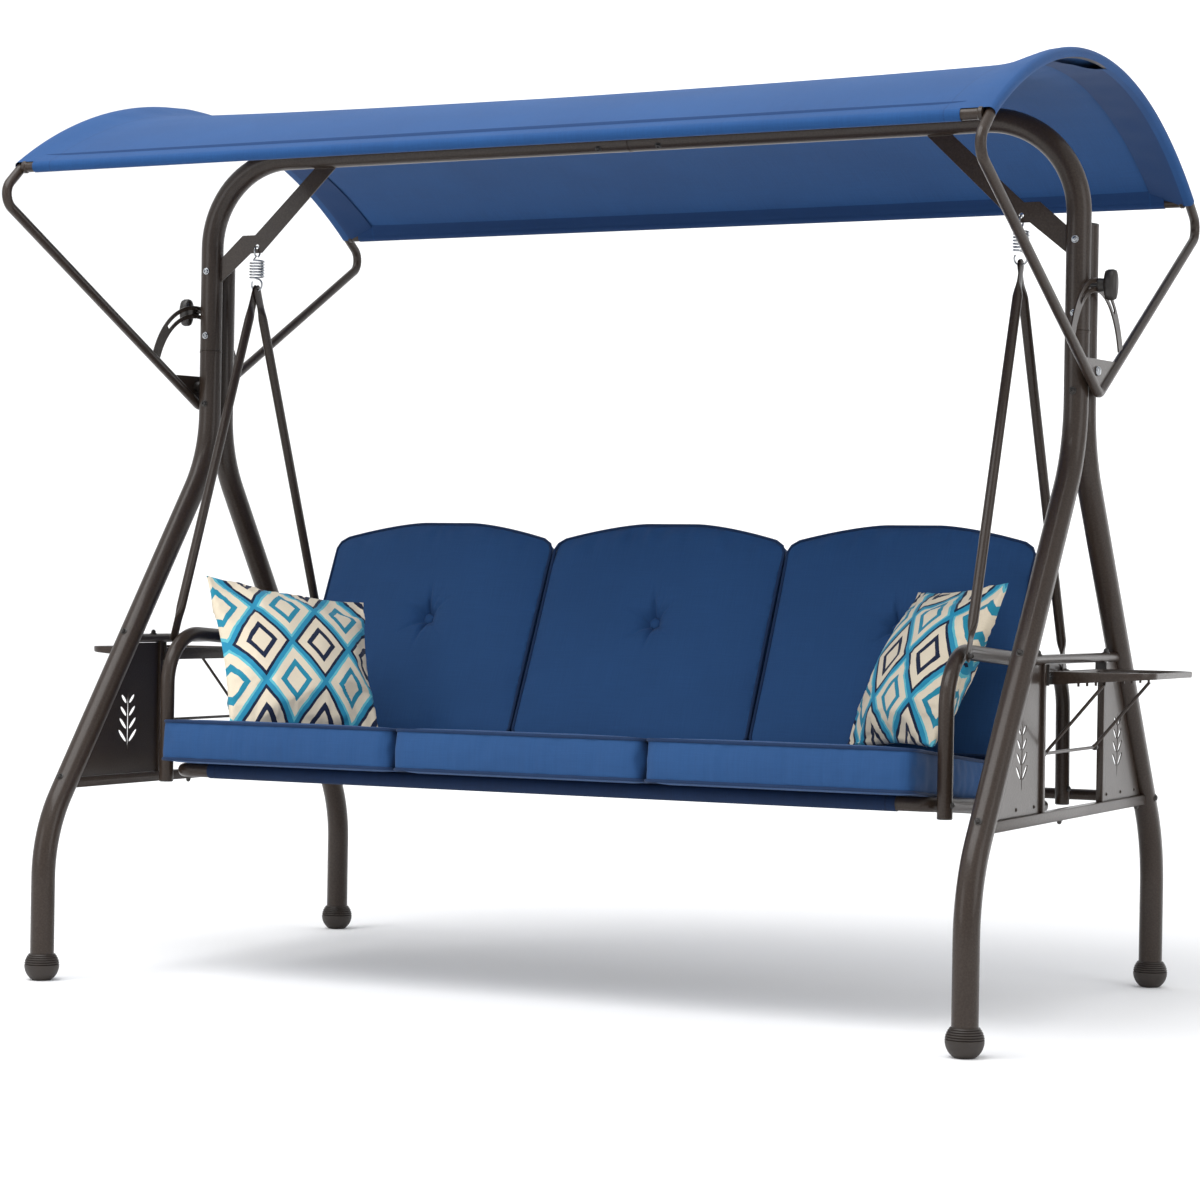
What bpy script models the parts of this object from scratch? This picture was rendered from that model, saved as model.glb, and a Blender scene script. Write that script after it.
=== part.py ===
"""Three-seat canopy glider swing: steel stand, tilting canopy, sprung hanging bench and two folding trays.

Units are metres, +X runs along the bench, -Y is the front, +Z is up, and Z = 0 is the ground.
The front posts stand on Y = 0. Every object is one physical piece of the swing.
"""
import math

import bmesh
import bpy
from mathutils import Matrix, Vector

MM = 0.001
GAP = 0.3 * MM            # clearance left between pieces that touch
SIDES = {"left": -1, "right": 1}

# Stand
TUBE_R = 23 * MM          # main frame tube
POST_X = 0.941            # front and rear legs stand in this plane, one at each end
FRONT_FOOT_Y = -0.5585
REAR_FOOT_Y = 0.5505
REAR_TOP_Y = 2 * TUBE_R + GAP
LOWER_BEND_Z = 0.2856     # where the straight parts of a leg would cross
UPPER_BEND_Z = 1.0446
LEG_BEND_R = 0.27
SPLICE_Z = 1.2606         # leg ends and post begins
REAR_TOP_Z = 1.458
BEAM_Z = 1.6556
BEAM_BEND_R = 0.18
BEAM_SPLICE_X = 0.030
FOOT_R = 33.5 * MM
FOOT_Z = 28.6 * MM
SOCKET_Z = 12 * MM
CROSS_BAR_R = 11 * MM
CROSS_BAR_Z = 0.381

# Corner plates that carry the springs
PLATE_T = 4 * MM
HANG_X = 0.8307
HANG_Z = 1.4764
HANG_HOLE_R = 5 * MM

# Side frames
UPPER_RAIL_Z = 0.6605
UPPER_RAIL_R = 9 * MM
LOWER_RAIL_Z = 0.378
LOWER_RAIL_SIZE = 20 * MM
BAR_SIZE = 13 * MM
FRONT_BAR_Y = -0.172
REAR_BAR_Y = 0.190
PANEL_T = 2 * MM

# Canopy
FAN_X = 0.978
FAN_R = 9.5 * MM
PIVOT_Z = 1.1864
ARCH_Y = -0.004           # centre and radius of the fabric's outer face
ARCH_Z = 0.639
ARCH_R = 1.127
FABRIC_T = 3 * MM
QUADRANT_R = 0.157        # slot's middle, about the pivot
QUADRANT_W = 26 * MM
QUADRANT_T = 3 * MM
SLOT_W = 9 * MM
SLOT_HALF_DEG = 42.5
FRONT_TUBE = (-0.6175, 1.5674)
REAR_TUBE = (0.6085, 1.5681)
CROSS_TUBE_R = 10 * MM

# Springs and hanging arms
WIRE_R = 1.8 * MM
COIL_R = 14.2 * MM
COIL_TURNS = 6
COIL_TOP_Z = 1.447
COIL_BOTTOM_Z = 1.411
PIN_Z = 1.3846            # where the spring hooks into the arms
ARM_R = 9.5 * MM
ARM_TAB_T = 3.7 * MM
ARM_TAB_W = 26 * MM
ARM_HOLE_R = 4.5 * MM

# Bench
ARMREST_X = 0.8165
ARMREST_R = 14 * MM
ARMREST_FRONT_Y = -0.3265
ARMREST_REAR_Y = 0.3505
SEAT_R = 13.5 * MM
SEAT_FRONT = (ARMREST_FRONT_Y, 0.4036)
SEAT_REAR = (0.3365, 0.3651)
BACK_R = 12.5 * MM
BACK_LOW = (0.1252, 0.3709)
BACK_TOP = (0.3276, 0.7906)
SLING_X = 0.725
SLING_T = 2.5 * MM
SLING_CORNER = (0.1107, 0.3735)
SEAT_TILT = math.radians(5.4)
BACK_RECLINE = math.radians(25.75)
CUSHION_W = 0.519
CUSHION_PITCH = 0.5235
SEAT_CUSHION_T = 0.068
SEAT_CUSHION_D = 0.505
SEAT_CUSHION_FRONT = (-0.400, 0.4312)
BACK_CUSHION_T = 0.070
BACK_CUSHION_LOW = (0.0755, 0.4725)
BACK_SHOULDER_H = 0.444
BACK_PEAK_H = 0.484

# Folding trays
TRAY_FRONT_Y = -0.158
TRAY_REAR_Y = 0.150
TRAY_INNER_X = 0.945
TRAY_OUTER_X = 1.135
TRAY_TOP_Z = 0.639
TRAY_DEEP = 24 * MM
TRAY_SHALLOW = 10 * MM
TRAY_HINGE = (0.951, 0.633)
BRACE_R = 3 * MM
BRACE_PIVOT_Z = 0.4925
BRACE_TIP = (1.047, 0.6175)
BRACE_FRONT_Y = -0.150
BRACE_REAR_Y = 0.142

FRAME_FINISH = ((0.046, 0.037, 0.033), 0.42, 0.35)
TEXTILE_BLUE = ((0.028, 0.085, 0.21), 0.85, 0.0)
CANOPY_BLUE = ((0.05, 0.14, 0.32), 0.8, 0.0)
PATTERNED = ((0.55, 0.50, 0.42), 0.85, 0.0)
ZINC = ((0.55, 0.56, 0.58), 0.35, 0.9)
BLACK_PLASTIC = ((0.02, 0.018, 0.017), 0.5, 0.0)


def clear_scene():
    for old in list(bpy.data.objects):
        bpy.data.objects.remove(old, do_unlink=True)


def material(name, finish):
    colour, roughness, metallic = finish
    made = bpy.data.materials.get(name) or bpy.data.materials.new(name)
    made.use_nodes = True
    shader = made.node_tree.nodes["Principled BSDF"]
    shader.inputs["Base Color"].default_value = (*colour, 1.0)
    shader.inputs["Roughness"].default_value = roughness
    shader.inputs["Metallic"].default_value = metallic
    return made


def add_mesh(name, mesh, finish, origin=(0.0, 0.0, 0.0), smooth=True):
    """Makes an object from mesh, with its origin moved to the given world point."""
    mesh.transform(Matrix.Translation(-Vector(origin)))
    mesh.materials.clear()
    mesh.materials.append(material(name, finish))
    if smooth:
        mesh.shade_smooth()
        mesh.set_sharp_from_angle(angle=math.radians(35))
    made = bpy.data.objects.new(name, mesh)
    made.location = origin
    bpy.context.scene.collection.objects.link(made)
    return made


def rounded(corners, radius, closed=False):
    """Points of a path through corners, with each corner turned into an arc of the given radius."""
    corners = [Vector(c) for c in corners]
    count = len(corners)
    radii = radius if isinstance(radius, (list, tuple)) else [radius] * count
    path = []
    for i, corner in enumerate(corners):
        if not closed and i in (0, count - 1):
            path.append(corner)
            continue
        back = (corners[i - 1] - corner).normalized()
        ahead = (corners[(i + 1) % count] - corner).normalized()
        turn = math.pi - back.angle(ahead)
        reach = radii[i] * math.tan(turn / 2)
        middle = corner + (back + ahead).normalized() * radii[i] / math.cos(turn / 2)
        start = corner + back * reach - middle
        end = corner + ahead * reach - middle
        steps = max(2, math.ceil(turn / math.radians(12)))
        for k in range(steps + 1):
            path.append(middle + start.slerp(end, k / steps) * radii[i])
    return path


def swept(path, radius, resolution, closed=False):
    """Mesh of a round rod along path: a poly curve with a bevel and filled caps."""
    curve = bpy.data.curves.new("route", "CURVE")
    curve.dimensions = "3D"
    curve.bevel_depth = radius
    curve.bevel_resolution = resolution
    curve.use_fill_caps = not closed
    line = curve.splines.new("POLY")
    line.points.add(len(path) - 1)
    for point, place in zip(line.points, path):
        point.co = (*place, 1.0)
    line.use_cyclic_u = closed
    holder = bpy.data.objects.new("route", curve)
    mesh = bpy.data.meshes.new_from_object(holder)
    bpy.data.objects.remove(holder)
    bpy.data.curves.remove(curve)
    welded = bmesh.new()
    welded.from_mesh(mesh)
    bmesh.ops.remove_doubles(welded, verts=welded.verts, dist=1e-6)
    bmesh.ops.recalc_face_normals(welded, faces=welded.faces)
    welded.to_mesh(mesh)
    welded.free()
    return mesh


def prism(outline, thickness, place):
    """Mesh of a flat outline (u, v) extruded by thickness about its plane and set by the matrix place."""
    shape = bmesh.new()
    base = [shape.verts.new((u, v, -thickness / 2)) for u, v in outline]
    face = shape.faces.new(base)
    grown = bmesh.ops.extrude_face_region(shape, geom=[face])
    lifted = [v for v in grown["geom"] if isinstance(v, bmesh.types.BMVert)]
    bmesh.ops.translate(shape, verts=lifted, vec=(0.0, 0.0, thickness))
    bmesh.ops.recalc_face_normals(shape, faces=shape.faces)
    shape.transform(place)
    mesh = bpy.data.meshes.new("prism")
    shape.to_mesh(mesh)
    shape.free()
    return mesh


def turned(profile, segments, place):
    """Mesh turned about the local Z axis from a profile of (radius, height) points that starts and ends on it."""
    shape = bmesh.new()
    spine = [shape.verts.new((r, 0.0, z)) for r, z in profile]
    edges = [shape.edges.new(pair) for pair in zip(spine, spine[1:])]
    bmesh.ops.spin(
        shape, geom=spine + edges, cent=(0, 0, 0), axis=(0, 0, 1), angle=math.tau, steps=segments, use_merge=True
    )
    bmesh.ops.remove_doubles(shape, verts=shape.verts, dist=1e-6)
    bmesh.ops.recalc_face_normals(shape, faces=shape.faces)
    shape.transform(place)
    mesh = bpy.data.meshes.new("turned")
    shape.to_mesh(mesh)
    shape.free()
    return mesh


def box(low, high):
    """Mesh of a box between two corners."""
    low, high = Vector(low), Vector(high)
    shape = bmesh.new()
    bmesh.ops.create_cube(shape, size=1.0)
    shape.transform(Matrix.Translation((low + high) / 2) @ Matrix.Diagonal((*(high - low), 1.0)))
    mesh = bpy.data.meshes.new("box")
    shape.to_mesh(mesh)
    shape.free()
    return mesh


def rod(start, end, radius, segments=16):
    """Mesh of a straight cylinder between two points."""
    start, end = Vector(start), Vector(end)
    run = end - start
    shape = bmesh.new()
    bmesh.ops.create_cone(
        shape, cap_ends=True, segments=segments, radius1=radius, radius2=radius, depth=run.length
    )
    turn = run.to_track_quat("Z", "Y").to_matrix().to_4x4()
    shape.transform(Matrix.Translation((start + end) / 2) @ turn)
    mesh = bpy.data.meshes.new("rod")
    shape.to_mesh(mesh)
    shape.free()
    return mesh


def boolean(target, cutter_mesh, operation):
    """Applies an exact Boolean with cutter_mesh to the mesh of target."""
    cutter = bpy.data.objects.new("cutter", cutter_mesh)
    cutter.hide_render = True
    cutter.display_type = "WIRE"
    bpy.context.scene.collection.objects.link(cutter)
    modifier = target.modifiers.new(operation.lower(), "BOOLEAN")
    modifier.operation = operation
    modifier.solver = "EXACT"
    modifier.object = cutter
    bpy.context.view_layer.update()
    seen = bpy.context.evaluated_depsgraph_get()
    result = bpy.data.meshes.new_from_object(target.evaluated_get(seen))
    target.modifiers.clear()
    result.name = target.name
    target.data = result
    bpy.data.objects.remove(cutter)


def in_yz(x):
    """Matrix that lays a flat (u, v) outline in the plane X = x as (Y, Z)."""
    return Matrix(((0, 0, 1, x), (1, 0, 0, 0), (0, 1, 0, 0), (0, 0, 0, 1)))


def in_xz(y):
    """Matrix that lays a flat (u, v) outline in the plane Y = y as (X, Z)."""
    return Matrix(((1, 0, 0, 0), (0, 0, -1, y), (0, 1, 0, 0), (0, 0, 0, 1)))


def arc(centre, radius, start_deg, end_deg, steps):
    """Points of an arc as (u, v), angles anticlockwise from +u."""
    turn = [math.radians(start_deg + (end_deg - start_deg) * k / steps) for k in range(steps + 1)]
    return [(centre[0] + radius * math.cos(a), centre[1] + radius * math.sin(a)) for a in turn]


def leg_y(z, foot_y, top_y):
    """Y of a leg's straight slanting part at height z."""
    return foot_y + (top_y - foot_y) * (z - LOWER_BEND_Z) / (UPPER_BEND_Z - LOWER_BEND_Z)


def make_legs(side, sign):
    x = sign * POST_X
    floor_z = SOCKET_Z + 0.5 * MM
    routes = {
        "front": (FRONT_FOOT_Y, 0.0, SPLICE_Z - GAP),
        "rear": (REAR_FOOT_Y, REAR_TOP_Y, REAR_TOP_Z),
    }
    for end, (foot_y, top_y, top_z) in routes.items():
        corners = [
            (x, foot_y, floor_z), (x, foot_y, LOWER_BEND_Z), (x, top_y, UPPER_BEND_Z), (x, top_y, top_z)
        ]
        add_mesh(f"{end}_leg_{side}", swept(rounded(corners, LEG_BEND_R), TUBE_R, 5), FRAME_FINISH)
        rim = math.acos((TUBE_R + 2.5 * MM) / FOOT_R)
        base = -math.asin((FOOT_Z - 2 * MM) / FOOT_R)
        ball = [
            (FOOT_R * math.cos(base + (rim - base) * k / 7), FOOT_Z + FOOT_R * math.sin(base + (rim - base) * k / 7))
            for k in range(8)
        ]
        socket_r = TUBE_R + GAP
        profile = [(0.0, 0.0), (ball[0][0] - 2 * MM, 0.0), *ball, (socket_r, ball[-1][1]), (socket_r, SOCKET_Z)]
        profile.append((0.0, SOCKET_Z))
        place = Matrix.Translation((x, foot_y, 0.0))
        add_mesh(f"{end}_foot_{side}", turned(profile, 24, place), BLACK_PLASTIC)


def make_top_beam(side, sign):
    end_x = BEAM_SPLICE_X + sign * GAP / 2
    corners = [(sign * POST_X, 0.0, SPLICE_Z), (sign * POST_X, 0.0, BEAM_Z), (end_x, 0.0, BEAM_Z)]
    add_mesh(f"top_beam_{side}", swept(rounded(corners, BEAM_BEND_R), TUBE_R, 5), FRAME_FINISH)


def make_corner_plate(side, sign):
    """Cranked flat bar from the post to the beam, with the spring's hole in its level middle."""
    post_x = POST_X - TUBE_R - GAP
    beam_z = BEAM_Z - TUBE_R - GAP
    outline = [
        (post_x, 1.4055), (0.847, 1.463), (0.8195, 1.463), (0.644, beam_z),
        (0.694, beam_z), (0.8355, 1.5006), (0.866, 1.5006), (post_x, 1.4551),
    ]
    outline = [(sign * u, v) for u, v in outline]
    plate = add_mesh(f"corner_plate_{side}", prism(outline, PLATE_T, in_xz(0.0)), FRAME_FINISH, smooth=False)
    hole = rod((sign * HANG_X, -0.02, HANG_Z), (sign * HANG_X, 0.02, HANG_Z), HANG_HOLE_R, 12)
    boolean(plate, hole, "DIFFERENCE")


def leaf_slots():
    """Outlines (u, v) of the cut-out in a side panel: a stem with four pairs of leaflets, about its middle."""
    slots = [(0.0, -0.060, 0.120, 90.0, 2.2)]
    for k in range(4):
        for lean in (-1, 1):
            slots.append((lean * 0.0045, -0.040 + 0.026 * k, 0.036 - 0.004 * k, 90.0 - lean * 48.0, 4.0))
    outlines = []
    for u, v, length, heading, width in slots:
        along = Vector((math.cos(math.radians(heading)), math.sin(math.radians(heading))))
        across = Vector((-along.y, along.x))
        root = Vector((u, v))
        points = []
        for k in range(10):
            turn = math.tau * k / 10
            reach = length * (0.5 - 0.5 * math.cos(turn))
            points.append(root + along * reach + across * (width * MM * math.sin(turn)))
        outlines.append(points)
    return outlines


def make_side_frame(side, sign):
    x = sign * POST_X
    clear = TUBE_R / math.cos(math.atan((0 - FRONT_FOOT_Y) / (UPPER_BEND_Z - LOWER_BEND_Z))) + 1 * MM

    def span(z, half_height):
        lean = half_height * 0.74
        front = leg_y(z, FRONT_FOOT_Y, 0.0) + clear + lean
        rear = leg_y(z, REAR_FOOT_Y, REAR_TOP_Y) - clear - lean
        return front, rear

    front, rear = span(UPPER_RAIL_Z, UPPER_RAIL_R)
    rail = rod((x, front, UPPER_RAIL_Z), (x, rear, UPPER_RAIL_Z), UPPER_RAIL_R)
    add_mesh(f"upper_rail_{side}", rail, FRAME_FINISH)
    half = LOWER_RAIL_SIZE / 2
    front, rear = span(LOWER_RAIL_Z, half)
    rail = box((x - half, front, LOWER_RAIL_Z - half), (x + half, rear, LOWER_RAIL_Z + half))
    add_mesh(f"lower_rail_{side}", rail, FRAME_FINISH, smooth=False)

    low = LOWER_RAIL_Z + half + GAP
    high = UPPER_RAIL_Z - UPPER_RAIL_R - GAP
    size = BAR_SIZE / 2
    for end, bar_y in (("front", FRONT_BAR_Y), ("rear", REAR_BAR_Y)):
        bar = box((x - size, bar_y - size, low), (x + size, bar_y + size, high))
        add_mesh(f"{end}_bar_{side}", bar, FRAME_FINISH, smooth=False)

    clear += 0.5 * MM
    panels = {
        "front": (FRONT_BAR_Y - size - GAP, leg_y(low, FRONT_FOOT_Y, 0) + clear, leg_y(high, FRONT_FOOT_Y, 0) + clear),
        "rear": (
            REAR_BAR_Y + size + GAP,
            leg_y(low, REAR_FOOT_Y, REAR_TOP_Y) - clear,
            leg_y(high, REAR_FOOT_Y, REAR_TOP_Y) - clear,
        ),
    }
    for end, (bar_side, leg_low, leg_high) in panels.items():
        outline = [(bar_side, low + GAP), (leg_low, low + GAP), (leg_high, high - GAP), (bar_side, high - GAP)]
        panel = add_mesh(f"{end}_panel_{side}", prism(outline, PANEL_T, in_yz(x)), FRAME_FINISH, smooth=False)
        middle_y = bar_side + (leg_low - bar_side) * 0.38
        for slot in leaf_slots():
            shifted = [(middle_y + p.x, 0.492 + p.y) for p in slot]
            boolean(panel, prism(shifted, 5 * PANEL_T, in_yz(x)), "DIFFERENCE")


def make_rear_cross_bar():
    reach = POST_X - TUBE_R - GAP
    y = leg_y(CROSS_BAR_Z, REAR_FOOT_Y, REAR_TOP_Y)
    bar = rod((-reach, y, CROSS_BAR_Z), (reach, y, CROSS_BAR_Z), CROSS_BAR_R)
    add_mesh("rear_cross_bar", bar, FRAME_FINISH)


def arch_point(y, inset):
    """(Y, Z) on the canopy's arch, the given distance inside the fabric's outer face."""
    radius = ARCH_R - inset
    return (y, ARCH_Z + math.sqrt(radius ** 2 - (y - ARCH_Y) ** 2))


def make_canopy_fan(side, sign):
    """Side of the canopy: the arched bow, and the bent V tube with its pivot plate and slotted quadrant."""
    x = sign * FAN_X
    inset = FABRIC_T + 1 * MM + FAN_R
    front_end, rear_end = -0.5975, 0.5895
    span = rear_end - front_end
    bow = [Vector((x, *arch_point(front_end + span * k / 18, inset))) for k in range(19)]
    add_mesh(f"canopy_bow_{side}", swept(bow, FAN_R, 4), FRAME_FINISH, origin=(0.0, 0.0, PIVOT_Z))

    front_bend = Vector((x, -0.6807, 1.5065))
    rear_bend = Vector((x, 0.6843, 1.5173))
    front_tip = bow[0] + (front_bend - bow[0]).normalized() * 2.2 * MM
    rear_tip = bow[-1] + (rear_bend - bow[-1]).normalized() * 2.2 * MM
    corners = [front_tip, front_bend, (x, 0.018, 1.1455), rear_bend, rear_tip]
    path = rounded(corners, [0.0, 0.030, 0.022, 0.030, 0.0])
    fan = add_mesh(f"canopy_fan_{side}", swept(path, FAN_R, 4), FRAME_FINISH)
    pivot = (0.0, PIVOT_Z)
    plate = [(-0.094, 1.2065), (0.128, 1.2120), (0.026, 1.1480), (0.010, 1.1480)]
    boolean(fan, prism(plate, QUADRANT_T, in_yz(x)), "UNION")
    reach = 73.0
    outer = arc(pivot, QUADRANT_R + QUADRANT_W / 2, 90 - reach, 90 + reach, 22)
    inner = arc(pivot, QUADRANT_R - QUADRANT_W / 2, 90 + reach, 90 - reach, 22)
    boolean(fan, prism(outer + inner, QUADRANT_T + 0.02 * MM, in_yz(x)), "UNION")
    slot = arc(pivot, QUADRANT_R + SLOT_W / 2, 90 - SLOT_HALF_DEG, 90 + SLOT_HALF_DEG, 16)
    slot += arc(pivot, QUADRANT_R - SLOT_W / 2, 90 + SLOT_HALF_DEG, 90 - SLOT_HALF_DEG, 16)
    boolean(fan, prism(slot, 4 * QUADRANT_T, in_yz(x)), "DIFFERENCE")
    bore = rod((x - 0.02, 0.0, PIVOT_Z), (x + 0.02, 0.0, PIVOT_Z), 4.5 * MM, 16)
    boolean(fan, bore, "DIFFERENCE")
    fan.data.transform(Matrix.Translation((0.0, 0.0, -PIVOT_Z)))
    fan.location = (0.0, 0.0, PIVOT_Z)


def make_pivot_bolt(side, sign):
    """Shoulder bolt that the canopy's pivot plate turns on, with its head outside the plate."""
    root = POST_X + TUBE_R + GAP
    head = FAN_X + QUADRANT_T / 2 + GAP
    profile = [(0.0, root), (4 * MM, root), (4 * MM, head), (8.5 * MM, head), (8.5 * MM, head + 5 * MM)]
    profile += [(6 * MM, head + 7 * MM), (0.0, head + 7 * MM)]
    along_x = Matrix.Rotation(math.radians(90 * sign), 4, "Y")
    place = Matrix.Translation((0.0, 0.0, PIVOT_Z)) @ along_x
    add_mesh(f"pivot_bolt_{side}", turned(profile, 16, place), ZINC)


def make_knob(side, sign):
    """Clamp knob: a stud through the quadrant's slot, a round hub and a rounded wing."""
    z = PIVOT_Z + QUADRANT_R
    along_x = Matrix.Rotation(math.radians(90 * sign), 4, "Y")
    root = POST_X + TUBE_R + GAP
    face = FAN_X + QUADRANT_T / 2 + GAP
    profile = [(0.0, root), (3.5 * MM, root), (3.5 * MM, face), (10 * MM, face), (9 * MM, face + 13 * MM)]
    profile.append((0.0, face + 13 * MM))
    place = Matrix.Translation((0.0, 0.0, z)) @ along_x
    knob = add_mesh(f"tilt_knob_{side}", turned(profile, 16, place), BLACK_PLASTIC)
    wing = rounded(
        [(-10 * MM, -27 * MM, 0), (10 * MM, -27 * MM, 0), (11 * MM, 27 * MM, 0), (-11 * MM, 27 * MM, 0)],
        7 * MM, closed=True,
    )
    wing = [(p.x, z + p.y) for p in wing]
    depth = 25 * MM
    wing_x = sign * (face + 11 * MM + depth / 2)
    boolean(knob, prism(wing, depth, in_yz(wing_x)), "UNION")
    knob.data.transform(Matrix.Translation((0.0, 0.0, -z)))
    knob.location = (0.0, 0.0, z)


def make_canopy_tubes():
    reach = FAN_X - FAN_R - GAP
    for end, (y, z) in (("front", FRONT_TUBE), ("rear", REAR_TUBE)):
        tube = rod((-reach, y, z), (reach, y, z), CROSS_TUBE_R)
        add_mesh(f"canopy_{end}_tube", tube, FRAME_FINISH, origin=(0.0, 0.0, PIVOT_Z))


def make_canopy_fabric():
    """Roof sheet: an arched strip between the two bows that turns down into a hem at the front and rear."""
    front_hem = [(-0.6350, 1.5535), (-0.6345, 1.5660), (-0.6315, 1.5745)]
    rear_hem = [(0.6225, 1.5752), (0.6265, 1.5655)]
    outer = front_hem + [arch_point(-0.622 + 1.235 * k / 20, 0.0) for k in range(21)] + rear_hem
    middles = [Vector(p) for p in outer]
    inner = []
    for i, point in enumerate(middles):
        ahead = middles[min(i + 1, len(middles) - 1)] - middles[max(i - 1, 0)]
        inward = Vector((ahead.y, -ahead.x)).normalized()
        inner.append(point + inward * FABRIC_T)
    outline = outer + [(p.x, p.y) for p in reversed(inner)]
    width = 2 * (FAN_X + FAN_R + 1 * MM)
    roof = add_mesh("canopy_fabric", prism(outline, width, in_yz(0.0)), CANOPY_BLUE)
    notch_x = FAN_X - FAN_R - 2 * MM
    for sign in SIDES.values():
        for y in (-0.65, 0.65):
            clearance = box((min(sign * notch_x, sign * 1.1), y - 0.1, 1.5), (max(sign * notch_x, sign * 1.1), y + 0.1, 1.5775))
            boolean(roof, clearance, "DIFFERENCE")
    roof.data.transform(Matrix.Translation((0.0, 0.0, -PIVOT_Z)))
    roof.location = (0.0, 0.0, PIVOT_Z)


def make_spring(side, sign):
    """Extension spring: a hook through the corner plate, the coil, and a hook through the arms."""
    x = sign * HANG_X
    top_r = 10.5 * MM
    low_r = 12.5 * MM
    path = []
    for k in range(12):
        turn = math.radians(250 - 320 * k / 11)
        path.append((x, -top_r * math.cos(turn), HANG_Z - top_r + top_r * math.sin(turn)))
    steps = COIL_TURNS * 12
    start = math.radians(-90)
    for k in range(steps + 1):
        turn = start + math.tau * k / 12
        z = COIL_TOP_Z + (COIL_BOTTOM_Z - COIL_TOP_Z) * k / steps
        path.append((x + COIL_R * math.cos(turn), COIL_R * math.sin(turn), z))
    path.append((x + 0.008, -0.008, COIL_BOTTOM_Z - 2.5 * MM))
    for k in range(12):
        turn = math.radians(75 - 290 * k / 11)
        path.append((x + low_r * math.cos(turn), 0.0, PIN_Z + low_r + low_r * math.sin(turn)))
    add_mesh(f"spring_{side}", swept(path, WIRE_R, 1), ZINC, origin=(x, 0.0, HANG_Z))


def make_arm(name, sign, foot, top_x, foot_x):
    """Hanging arm: round tube with both ends pressed flat, from the spring's hook to the armrest."""
    top = Vector((sign * top_x, 0.0, PIN_Z))
    low = Vector((sign * foot_x, foot[0], foot[1]))
    along = (low - top).normalized()
    across = along.cross(Vector((1.0, 0.0, 0.0))).normalized()
    outward = across.cross(along).normalized()
    length = (low - top).length
    tab = (ARM_TAB_T / 2, ARM_TAB_W / 2)
    stations = [
        (-0.011, tab[0], tab[1] * 0.55), (-0.006, tab[0], tab[1] * 0.9), (0.0, *tab), (0.034, *tab),
        (0.048, 0.006, 0.0117), (0.062, ARM_R, ARM_R),
    ]
    mirrored = [(length - s, a, b) for s, a, b in reversed(stations)]
    shape = bmesh.new()
    rings = []
    for distance, thick, wide in stations + mirrored:
        ring = []
        for k in range(12):
            turn = math.tau * k / 12
            offset = outward * (thick * math.cos(turn)) + across * (wide * math.sin(turn))
            ring.append(shape.verts.new(top + along * distance + offset))
        rings.append(ring)
    for first, second in zip(rings, rings[1:]):
        for k in range(12):
            shape.faces.new((first[k], first[(k + 1) % 12], second[(k + 1) % 12], second[k]))
    shape.faces.new(rings[0])
    shape.faces.new(rings[-1])
    bmesh.ops.recalc_face_normals(shape, faces=shape.faces)
    mesh = bpy.data.meshes.new(name)
    shape.to_mesh(mesh)
    shape.free()
    arm = add_mesh(name, mesh, FRAME_FINISH, origin=(0.0, 0.0, HANG_Z))
    hole = rod((top.x - 0.01, 0.0, PIN_Z), (top.x + 0.01, 0.0, PIN_Z), ARM_HOLE_R, 10)
    boolean(arm, hole, "DIFFERENCE")


def make_arms(side, sign):
    make_arm(f"front_arm_{side}", sign, (-0.275, 0.6655), HANG_X + 2.0 * MM, 0.8375)
    make_arm(f"rear_arm_{side}", sign, (0.300, 0.6294), HANG_X - 2.1 * MM, 0.8335)


def make_armrest(side, sign):
    x = sign * ARMREST_X
    corners = [
        (x, ARMREST_FRONT_Y, 0.381), (x, ARMREST_FRONT_Y, 0.6775),
        (x, ARMREST_REAR_Y - 7 * MM, 0.6395), (x, ARMREST_REAR_Y, 0.371),
    ]
    path = rounded(corners, [0.0, 0.10, 0.09, 0.0])
    add_mesh(f"armrest_{side}", swept(path, ARMREST_R, 4), FRAME_FINISH, origin=(0.0, 0.0, HANG_Z))


def make_bench_frames():
    seat_x = ARMREST_X - ARMREST_R - GAP - SEAT_R
    back_x = seat_x - SEAT_R - GAP - BACK_R
    for name, half, radius, low, high in (
        ("seat_frame", seat_x, SEAT_R, SEAT_FRONT, SEAT_REAR), ("back_frame", back_x, BACK_R, BACK_LOW, BACK_TOP)
    ):
        ring = rounded([(-half, *low), (half, *low), (half, *high), (-half, *high)], 0.035, closed=True)
        add_mesh(name, swept(ring, radius, 4, closed=True), FRAME_FINISH, origin=(0.0, 0.0, HANG_Z))


def make_sling():
    """One strip of fabric: round the seat's front tube, back to the corner, up and over the back's top tube."""
    loose = 0.6 * MM + SLING_T / 2
    up = 90 - math.degrees(BACK_RECLINE)
    path = arc(SEAT_FRONT, SEAT_R + loose, 300, 94, 12)
    corner = rounded(
        [(*path[-1], 0), (*SLING_CORNER, 0), (BACK_TOP[0] - 0.013, BACK_TOP[1] + 0.0062, 0)], 0.012
    )
    path += [(p.x, p.y) for p in corner[1:-1]]
    path += arc(BACK_TOP, BACK_R + loose, up + 90, -30, 12)
    points = [Vector(p) for p in path]
    sides = ([], [])
    for i, point in enumerate(points):
        ahead = points[min(i + 1, len(points) - 1)] - points[max(i - 1, 0)]
        normal = Vector((-ahead.y, ahead.x)).normalized() * SLING_T / 2
        sides[0].append(point + normal)
        sides[1].append(point - normal)
    outline = [(p.x, p.y) for p in sides[0] + sides[1][::-1]]
    add_mesh("seat_sling", prism(outline, 2 * SLING_X, in_yz(0.0)), TEXTILE_BLUE, origin=(0.0, 0.0, HANG_Z))


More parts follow.
